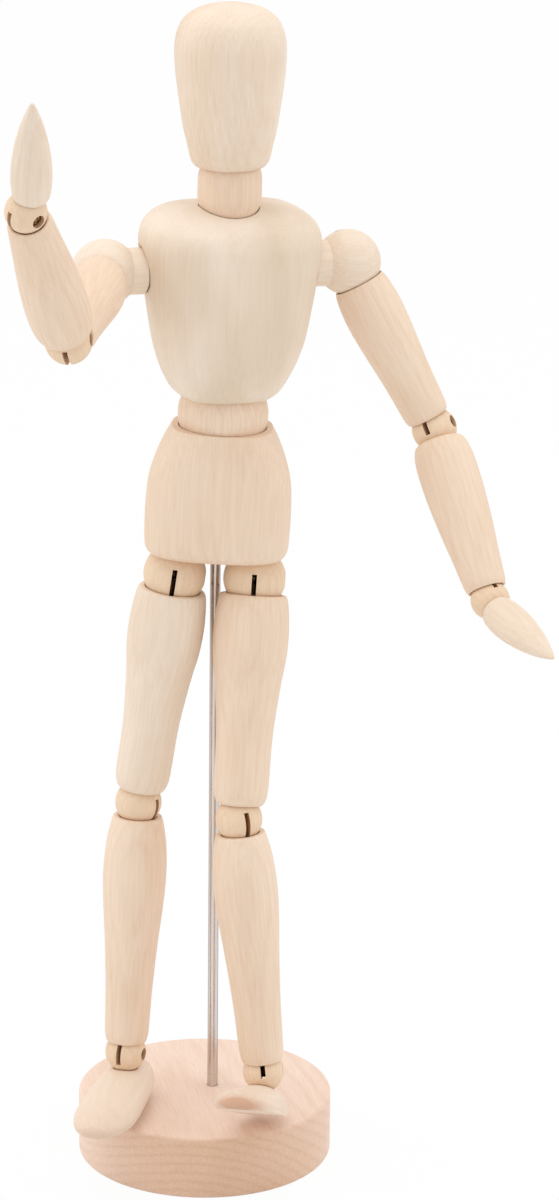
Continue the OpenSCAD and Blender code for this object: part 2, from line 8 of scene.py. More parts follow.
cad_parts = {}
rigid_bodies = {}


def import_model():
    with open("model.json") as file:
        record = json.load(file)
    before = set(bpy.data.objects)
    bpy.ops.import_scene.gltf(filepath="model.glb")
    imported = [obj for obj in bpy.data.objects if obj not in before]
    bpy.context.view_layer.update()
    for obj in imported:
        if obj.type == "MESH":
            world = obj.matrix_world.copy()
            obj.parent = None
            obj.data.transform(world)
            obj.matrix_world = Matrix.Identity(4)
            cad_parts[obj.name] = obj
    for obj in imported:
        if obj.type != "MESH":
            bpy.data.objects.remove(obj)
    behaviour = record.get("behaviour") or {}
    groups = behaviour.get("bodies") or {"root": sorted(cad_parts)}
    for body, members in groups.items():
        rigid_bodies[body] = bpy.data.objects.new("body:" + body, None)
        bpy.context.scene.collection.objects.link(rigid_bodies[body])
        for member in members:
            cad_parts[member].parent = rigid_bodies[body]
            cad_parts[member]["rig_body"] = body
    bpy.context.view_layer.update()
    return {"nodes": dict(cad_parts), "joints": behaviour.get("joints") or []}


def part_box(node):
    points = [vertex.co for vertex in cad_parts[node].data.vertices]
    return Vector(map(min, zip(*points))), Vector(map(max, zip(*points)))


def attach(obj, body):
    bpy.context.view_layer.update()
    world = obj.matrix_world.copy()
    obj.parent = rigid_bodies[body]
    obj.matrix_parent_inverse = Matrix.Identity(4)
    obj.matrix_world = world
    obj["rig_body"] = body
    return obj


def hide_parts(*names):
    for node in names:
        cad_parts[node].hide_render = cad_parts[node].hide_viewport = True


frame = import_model()


# Base disc: a round of pale hardwood turned on a lathe, with softened edges and a blind hole
# for the rod. Its grain runs towards the front, so end grain and growth arcs show on the rim; the
# end grain there is made dark, partly the wood's own and partly painted shade on the side.
MM = 0.001
SIDES = 112
SHARP_ANGLE = math.radians(30)


def srgb(red, green, blue):
    def linear(value):
        value /= 255
        return value / 12.92 if value <= 0.04045 else ((value + 0.055) / 1.055) ** 2.4
    return linear(red), linear(green), linear(blue), 1.0


def turned(outline, sides=SIDES):
    # Turn an outline of (radius, height) points in millimetres; it closes on itself or on the axis.
    shape = bmesh.new()
    rings = []
    angles = [2 * math.pi * side / sides for side in range(sides)]
    for radius, height in outline:
        if radius == 0:
            rings.append([shape.verts.new((0, 0, height * MM))])
            continue
        rings.append([
            shape.verts.new((radius * MM * math.cos(a), radius * MM * math.sin(a), height * MM))
            for a in angles
        ])
    for ring, following in zip(rings, rings[1:] + rings[:1]):
        if len(ring) == len(following) == 1:
            continue
        for side in range(sides):
            corners = (
                ring[side % len(ring)],
                ring[(side + 1) % sides % len(ring)],
                following[(side + 1) % sides % len(following)],
                following[side % len(following)],
            )
            shape.faces.new(list(dict.fromkeys(corners)))
    bmesh.ops.recalc_face_normals(shape, faces=shape.faces)
    return shape


def add_object(name, data):
    added = bpy.data.objects.new(name, data)
    bpy.context.scene.collection.objects.link(added)
    return added


def piece_from(shape, name, place=Matrix.Identity(4)):
    shape.transform(place)
    mesh = bpy.data.meshes.new(name)
    shape.to_mesh(mesh)
    shape.free()
    mesh.shade_smooth()
    return add_object(name, mesh)


def plain_mesh(worked):
    # What an object looks like with its modifiers, as a mesh of its own.
    bpy.context.view_layer.update()
    return bpy.data.meshes.new_from_object(worked.evaluated_get(bpy.context.evaluated_depsgraph_get()))


def carve(piece, cutters):
    # Cut each cutter shape out of the piece and keep the result as its plain mesh.
    for shape in cutters:
        cutter = piece_from(shape, "cutter")
        cut = piece.modifiers.new("cut", "BOOLEAN")
        cut.object = cutter
        cut.operation = "DIFFERENCE"
        cut.solver = "MANIFOLD"
        carved = plain_mesh(piece)
        carved.materials.clear()
        piece.modifiers.remove(cut)
        old = piece.data
        piece.data = carved
        bpy.data.meshes.remove(old)
        bpy.data.objects.remove(cutter)
    piece.data.name = piece.name


def drill(radius, start, end, place=Matrix.Identity(4)):
    # Cylinder in millimetres between two points of the piece's own frame.
    first = Vector(start) * MM
    second = Vector(end) * MM
    along = (second - first).to_track_quat("Z", "Y").to_matrix().to_4x4()
    shape = bmesh.new()
    bmesh.ops.create_cone(
        shape, cap_ends=True, segments=48, radius1=radius * MM, radius2=radius * MM,
        depth=(second - first).length, matrix=place @ Matrix.Translation((first + second) / 2) @ along,
    )
    return shape


def new_tree(name, kind, inputs, outputs):
    # Node tree whose inputs and outputs are given as a type of socket and the names that have it.
    tree = bpy.data.node_groups.new(name, kind)
    for in_out, sockets in (("INPUT", inputs), ("OUTPUT", outputs)):
        for socket_type, names in sockets.items():
            for socket_name in names:
                tree.interface.new_socket(
                    socket_name, in_out=in_out, socket_type=f"NodeSocket{socket_type}",
                )
    return tree, tree.nodes.new("NodeGroupInput").outputs, tree.nodes.new("NodeGroupOutput")


def feed_node(tree, node, inputs):
    # Give each input its value or link it to a socket; a list makes several links.
    for name, values in inputs.items():
        for value in values if isinstance(values, list) else [values]:
            if isinstance(value, bpy.types.NodeSocket):
                tree.links.new(value, node.inputs[name])
            else:
                node.inputs[name].default_value = value
    return node


def add_node(tree, kind, inputs=(), **settings):
    # Add a node, set it up and return its outputs.
    node = tree.nodes.new(kind)
    for name, value in settings.items():
        setattr(node, name, value)
    return feed_node(tree, node, dict(inputs)).outputs


def calculate(tree, operation, *values):
    return add_node(tree, "ShaderNodeMath", enumerate(values), operation=operation)[0]


def blend_colours(tree, factor, first, second):
    inputs = {"Factor": factor, "A": first, "B": second}
    return add_node(tree, "ShaderNodeMix", inputs, data_type="RGBA")["Result"]


def grain_tree():
    # Growth rings about a pith line, streaks and pores along Z, a slow drift of tone, and the
    # darker look of wood that is cut across its grain, which, set strong, also paints shade on faces
    # that look along the grain.
    tree, given, result = new_tree("sanded wood grain", "ShaderNodeTree", {
        "Vector": ("Vector", "Facing", "Pith"),
        "Color": ("Pale", "Deep", "Pore"),
        "Float": (
            "Piece", "Ring Spacing", "Ring Strength", "Streak Strength", "Drift Strength",
            "Pore Strength", "End Grain And Shade",
        ),
    }, {"Color": ("Color",), "Float": ("Roughness", "Height")})

    def vector(operation, *values):
        return add_node(tree, "ShaderNodeVectorMath", enumerate(values), operation=operation)

    def noise(stretch, scale, detail):
        squeezed = vector("MULTIPLY", given["Vector"], (1, 1, stretch))[0]
        return add_node(tree, "ShaderNodeTexNoise", {
            "Vector": squeezed, "W": given["Piece"], "Scale": scale, "Detail": detail,
        }, noise_dimensions="4D")

    def spread(value, low, high, to_low=0.0, to_high=1.0):
        return add_node(tree, "ShaderNodeMapRange", {
            "Value": value, "From Min": low, "From Max": high, "To Min": to_low, "To Max": to_high,
        }, interpolation_type="SMOOTHSTEP")["Result"]

    swing = add_node(tree, "ShaderNodeVectorMath", {
        0: noise(0.25, 45, 2)["Color"], "Scale": 3 * MM,
    }, operation="SCALE")[0]
    bent = vector("ADD", given["Vector"], swing)[0]
    centred = vector("SUBTRACT", bent, given["Pith"])[0]
    flattened = vector("MULTIPLY", centred, (1, 1, 0.03))[0]
    reach = vector("LENGTH", flattened)["Value"]
    year = calculate(tree, "DIVIDE", reach, given["Ring Spacing"])
    wave = calculate(tree, "SINE", calculate(tree, "MULTIPLY", year, 2 * math.pi))
    late_wood = calculate(tree, "POWER", calculate(tree, "MULTIPLY_ADD", wave, 0.5, 0.5), 2.5)
    streak = spread(noise(0.03, 1600, 4)["Fac"], 0.3, 0.7)
    drift = spread(noise(0.4, 55, 2)["Fac"], 0.3, 0.7)
    pores = spread(noise(0.06, 2400, 1)["Fac"], 0.6, 0.74)
    along = vector("DOT_PRODUCT", given["Facing"], (0, 0, 1))["Value"]
    across = calculate(tree, "POWER", calculate(tree, "ABSOLUTE", along), 1.5)
    tone = calculate(tree, "MULTIPLY", late_wood, given["Ring Strength"])
    for mask, strength in ((streak, "Streak Strength"), (drift, "Drift Strength"), (across, "End Grain And Shade")):
        tone = calculate(tree, "MULTIPLY_ADD", mask, given[strength], tone)
    sanded = blend_colours(tree, tone, given["Pale"], given["Deep"])
    pitted = calculate(tree, "MULTIPLY", pores, given["Pore Strength"])
    feed_node(tree, result, {
        "Color": blend_colours(tree, pitted, sanded, given["Pore"]),
        "Roughness": spread(streak, 0.0, 1.0, 0.5, 0.62),
        "Height": calculate(tree, "SUBTRACT", calculate(tree, "MULTIPLY", streak, 0.4), pores),
    })
    return tree


grain = grain_tree()
SEED_STEP = 3.7


def new_material(name):
    material = bpy.data.materials.new(name)
    material.use_nodes = True
    return material, material.node_tree


def wood(name, place, piece_number, tones, ring_spacing=1.8, rings=0.12, streaks=0.3, drift=0.3,
         pores=0.06, end_grain_and_shade=0.15, pith=(14, 22, 0)):
    # Wood whose grain runs along the local Z of the piece's own frame; tones are pale, deep and pore.
    material, tree = new_material(name)
    where = add_node(tree, "ShaderNodeTexCoord")
    in_piece = add_node(tree, "ShaderNodeMapping", {
        "Vector": where["Object"], "Location": place.to_translation(), "Rotation": place.to_euler(),
    }, vector_type="TEXTURE")
    facing = add_node(tree, "ShaderNodeMapping", {
        "Vector": where["Normal"], "Rotation": place.to_euler(),
    }, vector_type="TEXTURE")
    pale, deep, pore = (srgb(*tone) for tone in tones)
    pattern = add_node(tree, "ShaderNodeGroup", {
        "Vector": in_piece["Vector"], "Facing": facing["Vector"],
        "Pith": Vector(pith) * MM, "Piece": piece_number * SEED_STEP,
        "Pale": pale, "Deep": deep, "Pore": pore,
        "Ring Spacing": ring_spacing * MM, "Ring Strength": rings, "Streak Strength": streaks,
        "Drift Strength": drift, "Pore Strength": pores, "End Grain And Shade": end_grain_and_shade,
    }, node_tree=grain)
    relief = add_node(tree, "ShaderNodeBump", {
        "Strength": 0.2, "Distance": 0.06 * MM, "Height": pattern["Height"],
    })
    feed_node(tree, tree.nodes["Principled BSDF"], {
        "Base Color": pattern["Color"], "Roughness": pattern["Roughness"],
        "Normal": relief["Normal"], "Specular IOR Level": 0.4,
    })
    return material


BASE_TONES = (245, 220, 203), (212, 170, 136), (176, 130, 100)
BASE_EDGE = 1.0
EDGE_STEPS = 6
ROD_HOLE = 1.5
PAST_TOP = 5
GRAIN_LEAN = 86
GRAIN_TURN = 12
base_low, base_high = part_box("base_disc")
rod_low, rod_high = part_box("support_rod")
rod_centre = (rod_low + rod_high) / 2 / MM


def on_rod(height):
    return rod_centre.x, rod_centre.y, height


base_radius = (base_high.x - base_low.x) / 2 / MM
base_height = base_high.z / MM
base_outline = [(0, 0)]
for height, start in ((BASE_EDGE, -90), (base_height - BASE_EDGE, 0)):
    for step in range(EDGE_STEPS + 1):
        a = math.radians(start + 90 / EDGE_STEPS * step)
        edge_radius = base_radius - BASE_EDGE + BASE_EDGE * math.cos(a)
        base_outline.append((edge_radius, height + BASE_EDGE * math.sin(a)))
base_outline += [(0, base_height)]
base = piece_from(turned(base_outline, sides=160), "base_round")
carve(base, [drill(ROD_HOLE, on_rod(rod_low.z / MM), on_rod(base_height + PAST_TOP))])
base.data.set_sharp_from_angle(angle=SHARP_ANGLE)
base_grain = Euler((math.radians(GRAIN_LEAN), 0, math.radians(GRAIN_TURN))).to_matrix().to_4x4()
# The strong end grain darkens the front and back of the rim: partly the wood's end grain, partly painted
# shade on the side.
base.data.materials.append(wood(
    "base_wood", base_grain, 1, BASE_TONES, ring_spacing=2.6, rings=0.13, streaks=0.16, drift=0.12,
    pores=0.12, end_grain_and_shade=0.6, pith=(-9, -30, 0),
))
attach(base, "base")
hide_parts("base_disc")


# Support rod: plain drawn steel wire, cut square, its ends broken with a file.
# It is glued into the base and runs up into a bore in the pelvis.
def drawn_steel_tree():
    # Fine draw lines along Z and a few duller smears.
    tree, given, result = new_tree("drawn steel", "ShaderNodeTree", {
        "Vector": ("Vector",), "Color": ("Bright", "Dull"),
    }, {"Color": ("Color",), "Float": ("Roughness",)})
    squeezed = add_node(tree, "ShaderNodeVectorMath", {
        0: given["Vector"], 1: (1, 1, 0.02),
    }, operation="MULTIPLY")[0]
    lines = add_node(tree, "ShaderNodeTexNoise", {"Vector": squeezed, "Scale": 2400, "Detail": 3})
    smears = add_node(tree, "ShaderNodeTexNoise", {"Vector": given["Vector"], "Scale": 160, "Detail": 2})
    rough = add_node(tree, "ShaderNodeMapRange", {
        "Value": smears["Fac"], "From Min": 0.3, "From Max": 0.7, "To Min": 0.16, "To Max": 0.3,
    })
    feed_node(tree, result, {
        "Color": blend_colours(tree, lines["Fac"], given["Bright"], given["Dull"]),
        "Roughness": rough["Result"],
    })
    return tree


drawn_steel = drawn_steel_tree()
GRAZING_GREY = 0.3


def metal(name, bright, dull):
    # Drawn metal that turns a plain grey where it is seen edge on.
    material, tree = new_material(name)
    where = add_node(tree, "ShaderNodeTexCoord")
    pattern = add_node(tree, "ShaderNodeGroup", {
        "Vector": where["Object"], "Bright": srgb(*bright), "Dull": srgb(*dull),
    }, node_tree=drawn_steel)
    feed_node(tree, tree.nodes["Principled BSDF"], {
        "Metallic": 1.0, "Specular Tint": (GRAZING_GREY, GRAZING_GREY, GRAZING_GREY, 1),
        "Base Color": pattern["Color"], "Roughness": pattern["Roughness"],
    })
    return material


ROD_BEVEL = 0.3
rod_radius = (rod_high.x - rod_low.x) / 2 / MM
rod_length = (rod_high.z - rod_low.z) / MM
rod_outline = [
    (0, 0), (rod_radius - ROD_BEVEL, 0), (rod_radius, ROD_BEVEL), (rod_radius, rod_length * 0.5),
    (rod_radius, rod_length - ROD_BEVEL), (rod_radius - ROD_BEVEL, rod_length), (0, rod_length),
]
rod_place = Matrix.Translation((rod_centre.x * MM, rod_centre.y * MM, rod_low.z))
rod = piece_from(turned(rod_outline, sides=64), "steel_rod", rod_place)
rod.data.set_sharp_from_angle(angle=SHARP_ANGLE)
rod.data.materials.append(metal("rod_steel", (238, 232, 228), (190, 182, 178)))
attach(rod, "base")
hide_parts("support_rod")


# Pelvis: a block shaped from square stock and sanded round, dished below for the hip balls and
# above for the waist ball, bored for the springs and the rod, with one small chip in its lower edge.
joints = {joint["name"]: joint for joint in frame["joints"]}
PELVIS = [
    (6, 16.6, 9.6, 0), (6.7, 18, 11.4, 0), (8.6, 19.1, 12.7, 0), (13, 19.4, 13.2, 0), (20, 19.4, 13.5, 0),
    (27, 18.9, 13.5, 0), (33, 17.3, 13.3, 0), (38, 15.3, 13, 0), (41.6, 13.4, 12.6, 0),
]
SQUARENESS = 2.7
CLEARANCE = 0.3
BORE = 1.9
ROD_BORE = 60
POCKET = 4.6
POCKET_FLOOR = 2.9
POCKET_TOP = 40
BRIDGE = 22
HIP_BALL = 8.4
WAIST_BALL = 12.0
CHIP = (5.6, -11.3, 6.6)
CHIP_RADIUS = 0.55
CHIP_STRETCH = (3.2, 1, 0.8)
PALE_TONES = (242, 226, 208), (226, 201, 175), (198, 162, 130)
WARM_TONES = (241, 219, 197), (223, 191, 160), (194, 154, 120)
MIXED_TONES = (242, 226, 209), (214, 191, 162), (188, 156, 126)


def place_of(name):
    return Vector(joints[name]["pos_m"])


def axis_of(name):
    return Vector(joints[name]["axis"])


def axis_towards(name, direction):
    axis = axis_of(name)
    return -axis if axis.dot(direction) < 0 else axis


def standing(x_axis, z_axis, origin):
    # Frame whose Z is z_axis and whose X lies as near to x_axis as it can.
    up = z_axis.normalized()
    across = (x_axis - x_axis.dot(up) * up).normalized()
    columns = (across, up.cross(across), up)
    turn = Matrix([[column[row] for column in columns] for row in range(3)]).to_4x4()
    return Matrix.Translation(origin) @ turn


def smooth_through(points, steps=8):
    # Smooth curve through control points, each a tuple of numbers.
    path = []
    last = len(points) - 1
    for i in range(last):
        before, start, end, after = (points[max(0, min(last, i + k))] for k in (-1, 0, 1, 2))
        for step in range(steps):
            t = step / steps
            path.append(tuple(
                0.5 * (2 * b + (c - a) * t + (2 * a - 5 * b + 4 * c - d) * t ** 2
                       + (3 * b - a - 3 * c + d) * t ** 3)
                for a, b, c, d in zip(before, start, end, after)
            ))
    path.append(points[-1])
    return path


def block(sections, squareness, count=128):
    # Skin through rounded-rectangle sections in millimetres: height, half width, half depth and
    # how far the section is shifted to the front.
    shape = bmesh.new()
    rings = []
    for height, half_width, half_depth, forward in smooth_through(sections):
        ring = []
        for k in range(count):
            c = math.cos(2 * math.pi * k / count)
            s = math.sin(2 * math.pi * k / count)
            ring.append(shape.verts.new((
                half_width * MM * math.copysign(abs(c) ** (2 / squareness), c),
                (half_depth * math.copysign(abs(s) ** (2 / squareness), s) - forward) * MM,
                height * MM,
            )))
        rings.append(ring)
    for ring, following in zip(rings, rings[1:]):
        for k in range(count):
            shape.faces.new((ring[k], ring[(k + 1) % count], following[(k + 1) % count], following[k]))
    shape.faces.new(rings[0])
    shape.faces.new(rings[-1])
    bmesh.ops.recalc_face_normals(shape, faces=shape.faces)
    return shape


def seat(radius, centre, squash=(1, 1, 1), turn=Matrix.Identity(4)):
    shape = bmesh.new()
    place = Matrix.Translation(centre) @ turn @ Matrix.Diagonal((*squash, 1))
    bmesh.ops.create_uvsphere(shape, u_segments=112, v_segments=72, radius=radius * MM, matrix=place)
    return shape


def soften(piece, width):
    bevel = piece.modifiers.new("softened edges", "BEVEL")
    bevel.width = width * MM
    bevel.segments = 3
    bevel.limit_method = "ANGLE"
    bevel.angle_limit = math.radians(32)
    bevel.harden_normals = True


hips = place_of("right_hip_turn"), place_of("left_hip_turn")
waist = place_of("waist_turn")
pelvis_frame = standing(hips[1] - hips[0], waist - (hips[0] + hips[1]) / 2, (hips[0] + hips[1]) / 2)
hip_x = (hips[1] - hips[0]).length / 2 / MM
pelvis = piece_from(block(PELVIS, SQUARENESS), "pelvis_block", pelvis_frame)
carve(pelvis, [
    *(seat(HIP_BALL + CLEARANCE, hip) for hip in hips),
    seat(WAIST_BALL + CLEARANCE, waist),
    *(drill(BORE, (x, 0, 0), (x, 0, BRIDGE + BORE), pelvis_frame) for x in (-hip_x, hip_x)),
    drill(BORE, (-hip_x, 0, BRIDGE), (hip_x, 0, BRIDGE), pelvis_frame),
    drill(POCKET, (0, 0, BRIDGE - POCKET_FLOOR), (0, 0, POCKET_TOP), pelvis_frame),
    drill(rod_radius + CLEARANCE, on_rod(rod_high.z / MM - ROD_BORE), on_rod(rod_high.z / MM)),
    seat(
        CHIP_RADIUS, pelvis_frame @ (Vector(CHIP) * MM), CHIP_STRETCH, pelvis_frame.to_3x3().to_4x4(),
    ),
])
soften(pelvis, 0.3)
pelvis.data.materials.append(wood(
    "pelvis_wood", pelvis_frame, 2, WARM_TONES, rings=0.08, drift=0.4, pith=(-30, 44, 0),
))
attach(pelvis, "pelvis")
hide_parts("pelvis")


# Slotted balls: turned beech balls, each sawn across for the spring of one limb, hollowed or
# drilled on the other side, and cross-drilled for a screw with a sunk head. The hips' cut stops
# short behind, where the thighs hardly swing. The faces inside the cuts and holes are painted
# darker as the shade in them, darkest at the knees.
BALL_TONES = (239, 214, 186), (221, 187, 151), (182, 138, 100)
# Tones for the faces inside the cuts and holes are painted shade for the slots, set per joint and darkest
# at the knees.
CUT_SHADE_TONES = (222, 184, 148), (196, 154, 116), (150, 108, 78)
JOINT_CUT_SHADE_TONES = {
    "hip": ((244, 208, 166), (228, 184, 138), (170, 128, 90)),
    "knee": ((208, 158, 112), (176, 126, 84), (120, 82, 54)),
}
SHOULDER_BALL = 8.7
SLOT = 1.3
SLOT_REACH = 0.38
SLOT_PAST = 1.1
HIP_SLOT_BACK = 2.4
STUB = 4.0
STUB_RADIUS = 6.1
EYE_HOLLOW = 2.5
EYE_HOLLOW_DEPTH = 2.1
HOLLOW_PAST = 1
PEG = 3.0
PEG_FIT = 0.1
PEG_DEPTH = 0.45
SCREW_HOLE = 0.7
HEAD_HOLE = 1.7
HEAD_HOLE_DEPTH = 4.0
HEAD_SEAT = 1.6
SCREW_HOLE_LENGTH = 1.7
SKIN = 0.985


def put(tree, mesh, **where):
    return add_node(tree, "GeometryNodeTransform", {"Geometry": mesh, **where})["Geometry"]


def raised(tree, mesh, height, **where):
    lift = add_node(tree, "ShaderNodeCombineXYZ", {"Z": height})["Vector"]
    return put(tree, mesh, Translation=lift, **where)


def cylinder(tree, vertices, radius, depth):
    return add_node(tree, "GeometryNodeMeshCylinder", {
        "Vertices": vertices, "Radius": radius, "Depth": depth,
    })["Mesh"]


def sphere(tree, segments, rings, radius):
    return add_node(tree, "GeometryNodeMeshUVSphere", {
        "Segments": segments, "Rings": rings, "Radius": radius,
    })["Mesh"]


def cut_out(tree, mesh, *cutters):
    return add_node(tree, "GeometryNodeMeshBoolean", {
        "Mesh 1": mesh, "Mesh 2": list(cutters),
    }, operation="DIFFERENCE", solver="MANIFOLD")["Mesh"]


def combined(tree, operation, *meshes):
    return add_node(tree, "GeometryNodeMeshBoolean", {
        "Mesh 2": list(meshes),
    }, operation=operation, solver="MANIFOLD")["Mesh"]


def compare(tree, operation, first, second):
    return add_node(tree, "FunctionNodeCompare", {
        "A": first, "B": second,
    }, data_type="FLOAT", operation=operation)["Result"]


def coated(tree, mesh, finish):
    whole = add_node(tree, "GeometryNodeRealizeInstances", {"Geometry": mesh})["Geometry"]
    return add_node(tree, "GeometryNodeSetMaterial", {
        "Geometry": whole, "Material": finish,
    })["Geometry"]


def slotted_ball_tree():
    # A ball with its screw along X, open to its limb's spring below and hollowed or drilled above.
    tree, given, result = new_tree("slotted ball", "GeometryNodeTree", {
        "Float": (
            "Radius", "Stub", "Stub Radius", "Screw Hole", "Head Hole", "Head Hole Depth", "Back Hole",
            "Back Depth",
        ),
        "Vector": ("Slot Size", "Slot Place", "Head Place", "Back Place", "Back Lean"),
        "Material": ("Finish", "Cut Shade Finish"),
    }, {"Geometry": ("Geometry",)})
    facets = 64
    radius, stub = given["Radius"], given["Stub"]
    ball = sphere(tree, 128, 96, radius)
    neck_length = calculate(tree, "ADD", stub, radius)
    neck = raised(
        tree, cylinder(tree, facets, given["Stub Radius"], neck_length),
        calculate(tree, "MULTIPLY", neck_length, 0.5),
    )
    stubbed = combined(tree, "UNION", ball, combined(tree, "INTERSECT", raised(tree, ball, stub), neck))
    whole_ball = add_node(tree, "GeometryNodeSwitch", {
        "Switch": compare(tree, "GREATER_THAN", stub, 0.1 * MM), "False": ball, "True": stubbed,
    }, input_type="GEOMETRY")["Output"]
    saw = add_node(tree, "GeometryNodeMeshCube", {"Size": given["Slot Size"]})["Mesh"]
    bit_length = calculate(tree, "MULTIPLY", radius, SCREW_HOLE_LENGTH)
    bit = cylinder(tree, facets, given["Screw Hole"], bit_length)
    sink = cylinder(tree, facets, given["Head Hole"], given["Head Hole Depth"])
    back = cylinder(tree, facets, given["Back Hole"], given["Back Depth"])
    across = (0, math.radians(90), 0)
    cut = cut_out(
        tree, whole_ball,
        put(tree, saw, Translation=given["Slot Place"]),
        put(tree, bit, Rotation=across),
        put(tree, sink, Translation=given["Head Place"], Rotation=across),
        put(tree, put(tree, back, Translation=given["Back Place"]), Rotation=given["Back Lean"]),
    )
    position = add_node(tree, "GeometryNodeInputPosition")["Position"]
    from_centre = add_node(tree, "ShaderNodeVectorMath", {0: position}, operation="LENGTH")["Value"]
    # Faces below the ball's skin, inside the cuts and holes, get the cut finish, which paints their shade.
    inside = compare(tree, "LESS_THAN", from_centre, calculate(tree, "MULTIPLY", radius, SKIN))
    sawn = add_node(tree, "GeometryNodeSetMaterial", {
        "Geometry": coated(tree, cut, given["Finish"]), "Selection": inside,
        "Material": given["Cut Shade Finish"],
    })
    feed_node(tree, result, {"Geometry": sawn["Geometry"]})
    return tree


slotted_ball = slotted_ball_tree()


def made_by(tree, name, sizes, place=Matrix.Identity(4), path=()):
    # Run a tree with the given named inputs and keep its result as a plain mesh in its place.
    # A path is a chain of points that the tree works along.
    start = bpy.data.meshes.new(name)
    start.from_pydata(path, [(k, k + 1) for k in range(len(path) - 1)], [])
    worked = add_object(name, start)
    maker = worked.modifiers.new("maker", "NODES")
    maker.node_group = tree
    for item in tree.interface.items_tree:
        if item.in_out == "INPUT" and item.name in sizes:
            maker[item.identifier] = sizes[item.name]
    mesh = plain_mesh(worked)
    bpy.data.objects.remove(worked)
    mesh.name = name
    mesh.transform(place)
    mesh.shade_smooth()
    mesh.set_sharp_from_angle(angle=SHARP_ANGLE)
    return add_object(name, mesh)


BALLS = {
    "hip": (HIP_BALL, "hip_turn", "hip_swing"), "knee": (6.3, "knee_turn", "knee_swing"),
    "ankle": (5.6, "foot_turn", "ankle_swing"), "shoulder": (SHOULDER_BALL, "shoulder_turn", "arm_raise"),
    "elbow": (6.0, "forearm_turn", "elbow_swing"), "wrist": (5.2, "hand_turn", "wrist_swing"),
}
ball_frames = {}
for number, (kind, (radius, turn, swing)) in enumerate(BALLS.items()):
    pegged = kind in ("ankle", "wrist")
    stub = STUB if kind == "shoulder" else 0
    slot_height = radius * (SLOT_PAST + SLOT_REACH)
    slot_front = SLOT_PAST * radius
    slot_back = HIP_SLOT_BACK if kind == "hip" else slot_front
    back_depth = radius if pegged else radius + stub + EYE_HOLLOW_DEPTH + HOLLOW_PAST
    back_start = PEG_DEPTH * radius if pegged else -EYE_HOLLOW_DEPTH
    for side in ("right", "left"):
        centre = place_of(f"{side}_{swing}")
        screw_low, screw_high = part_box(f"{side}_{kind}_screw")
        pin = axis_towards(f"{side}_{swing}", (screw_low + screw_high) / 2 - centre)
        if pegged:
            peg_low, peg_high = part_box(f"{side}_{'foot' if kind == 'ankle' else 'hand'}_peg")
            behind = (peg_low + peg_high) / 2
        else:
            behind = {
                "hip": waist, "knee": place_of(f"{side}_hip_swing"), "shoulder": place_of("neck_tilt"),
                "elbow": place_of(f"{side}_wrist_swing"),
            }[kind]
        back_axis = axis_towards(f"{side}_{turn}", behind - centre)
        ball_frame = standing(pin, back_axis - back_axis.dot(pin) * pin, centre)
        ball_frames[f"{side}_{kind}"] = ball_frame
        lean = math.asin(max(-1, min(1, back_axis.dot(pin)))) if pegged else 0
        ball = made_by(slotted_ball, f"{side}_{kind}_slotted_ball", {
            "Radius": radius * MM,
            "Stub": stub * MM,
            "Stub Radius": STUB_RADIUS * MM,
            "Slot Size": Vector((SLOT, slot_front + slot_back, slot_height)) * MM,
            "Slot Place": Vector((
                0, (slot_back - slot_front) / 2, SLOT_REACH * radius - slot_height / 2,
            )) * MM,
            "Screw Hole": SCREW_HOLE * MM,
            "Head Hole": HEAD_HOLE * MM,
            "Head Hole Depth": HEAD_HOLE_DEPTH * MM,
            "Head Place": Vector((radius - HEAD_SEAT + HEAD_HOLE_DEPTH / 2, 0, 0)) * MM,
            "Back Hole": (PEG / 2 + PEG_FIT if pegged else EYE_HOLLOW) * MM,
            "Back Depth": back_depth * MM,
            "Back Place": Vector((0, 0, back_start + back_depth / 2)) * MM,
            "Back Lean": Vector((0, lean, 0)),
            "Finish": wood(
                f"{side}_{kind}_ball_wood", ball_frame, 10 + 2 * number + (side == "left"),
                PALE_TONES if kind == "shoulder" else BALL_TONES, rings=0.1, pith=(9, 12, 0),
            ),
            "Cut Shade Finish": wood(
                f"{side}_{kind}_cut_painted_shade", ball_frame, 70 + 2 * number + (side == "left"),
                JOINT_CUT_SHADE_TONES.get(kind, CUT_SHADE_TONES), pores=0.3,
            ),
        }, ball_frame)
        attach(ball, f"{side}_{kind}_ball")
        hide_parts(f"{side}_{kind}_ball")


# Thighs and calves: turned on a lathe from pale hardwood, fat near the top, with a thin rim at
# each end that seats on a ball, and bored through for the spring.
THIGH = [
    (8.3, -4.3), (8.9, -4.6), (9.4, -6), (9.9, -10), (10.15, -15), (9.9, -21), (9, -27.5), (8.3, -34),
    (7.75, -40), (7.5, -46), (7.45, -53), (7.3, -57.5), (6.7, -60), (5.9, 3.9),
]
CALF = [
    (6.2, -3.9), (6.7, -4.2), (7.3, -6.5), (8.1, -11), (8.55, -16.5), (8.6, -22), (8.2, -29), (7.5, -37),
    (6.9, -45), (6.4, -54), (6.15, -61.5), (5.95, -66), (5.5, 3.4),
]
PITH_SWING = 6
PITH_STEP = 2.4


def dish(radius, narrow, rim, steps=14):
    # Half section of a spherical seat, from its rim to its bore: (radius, distance from the centre).
    wide_angle = math.acos(rim / radius)
    narrow_angle = math.asin(narrow / radius)
    angles = [wide_angle + (narrow_angle - wide_angle) * k / steps for k in range(steps + 1)]
    return [(radius * math.sin(a), radius * math.cos(a)) for a in angles]


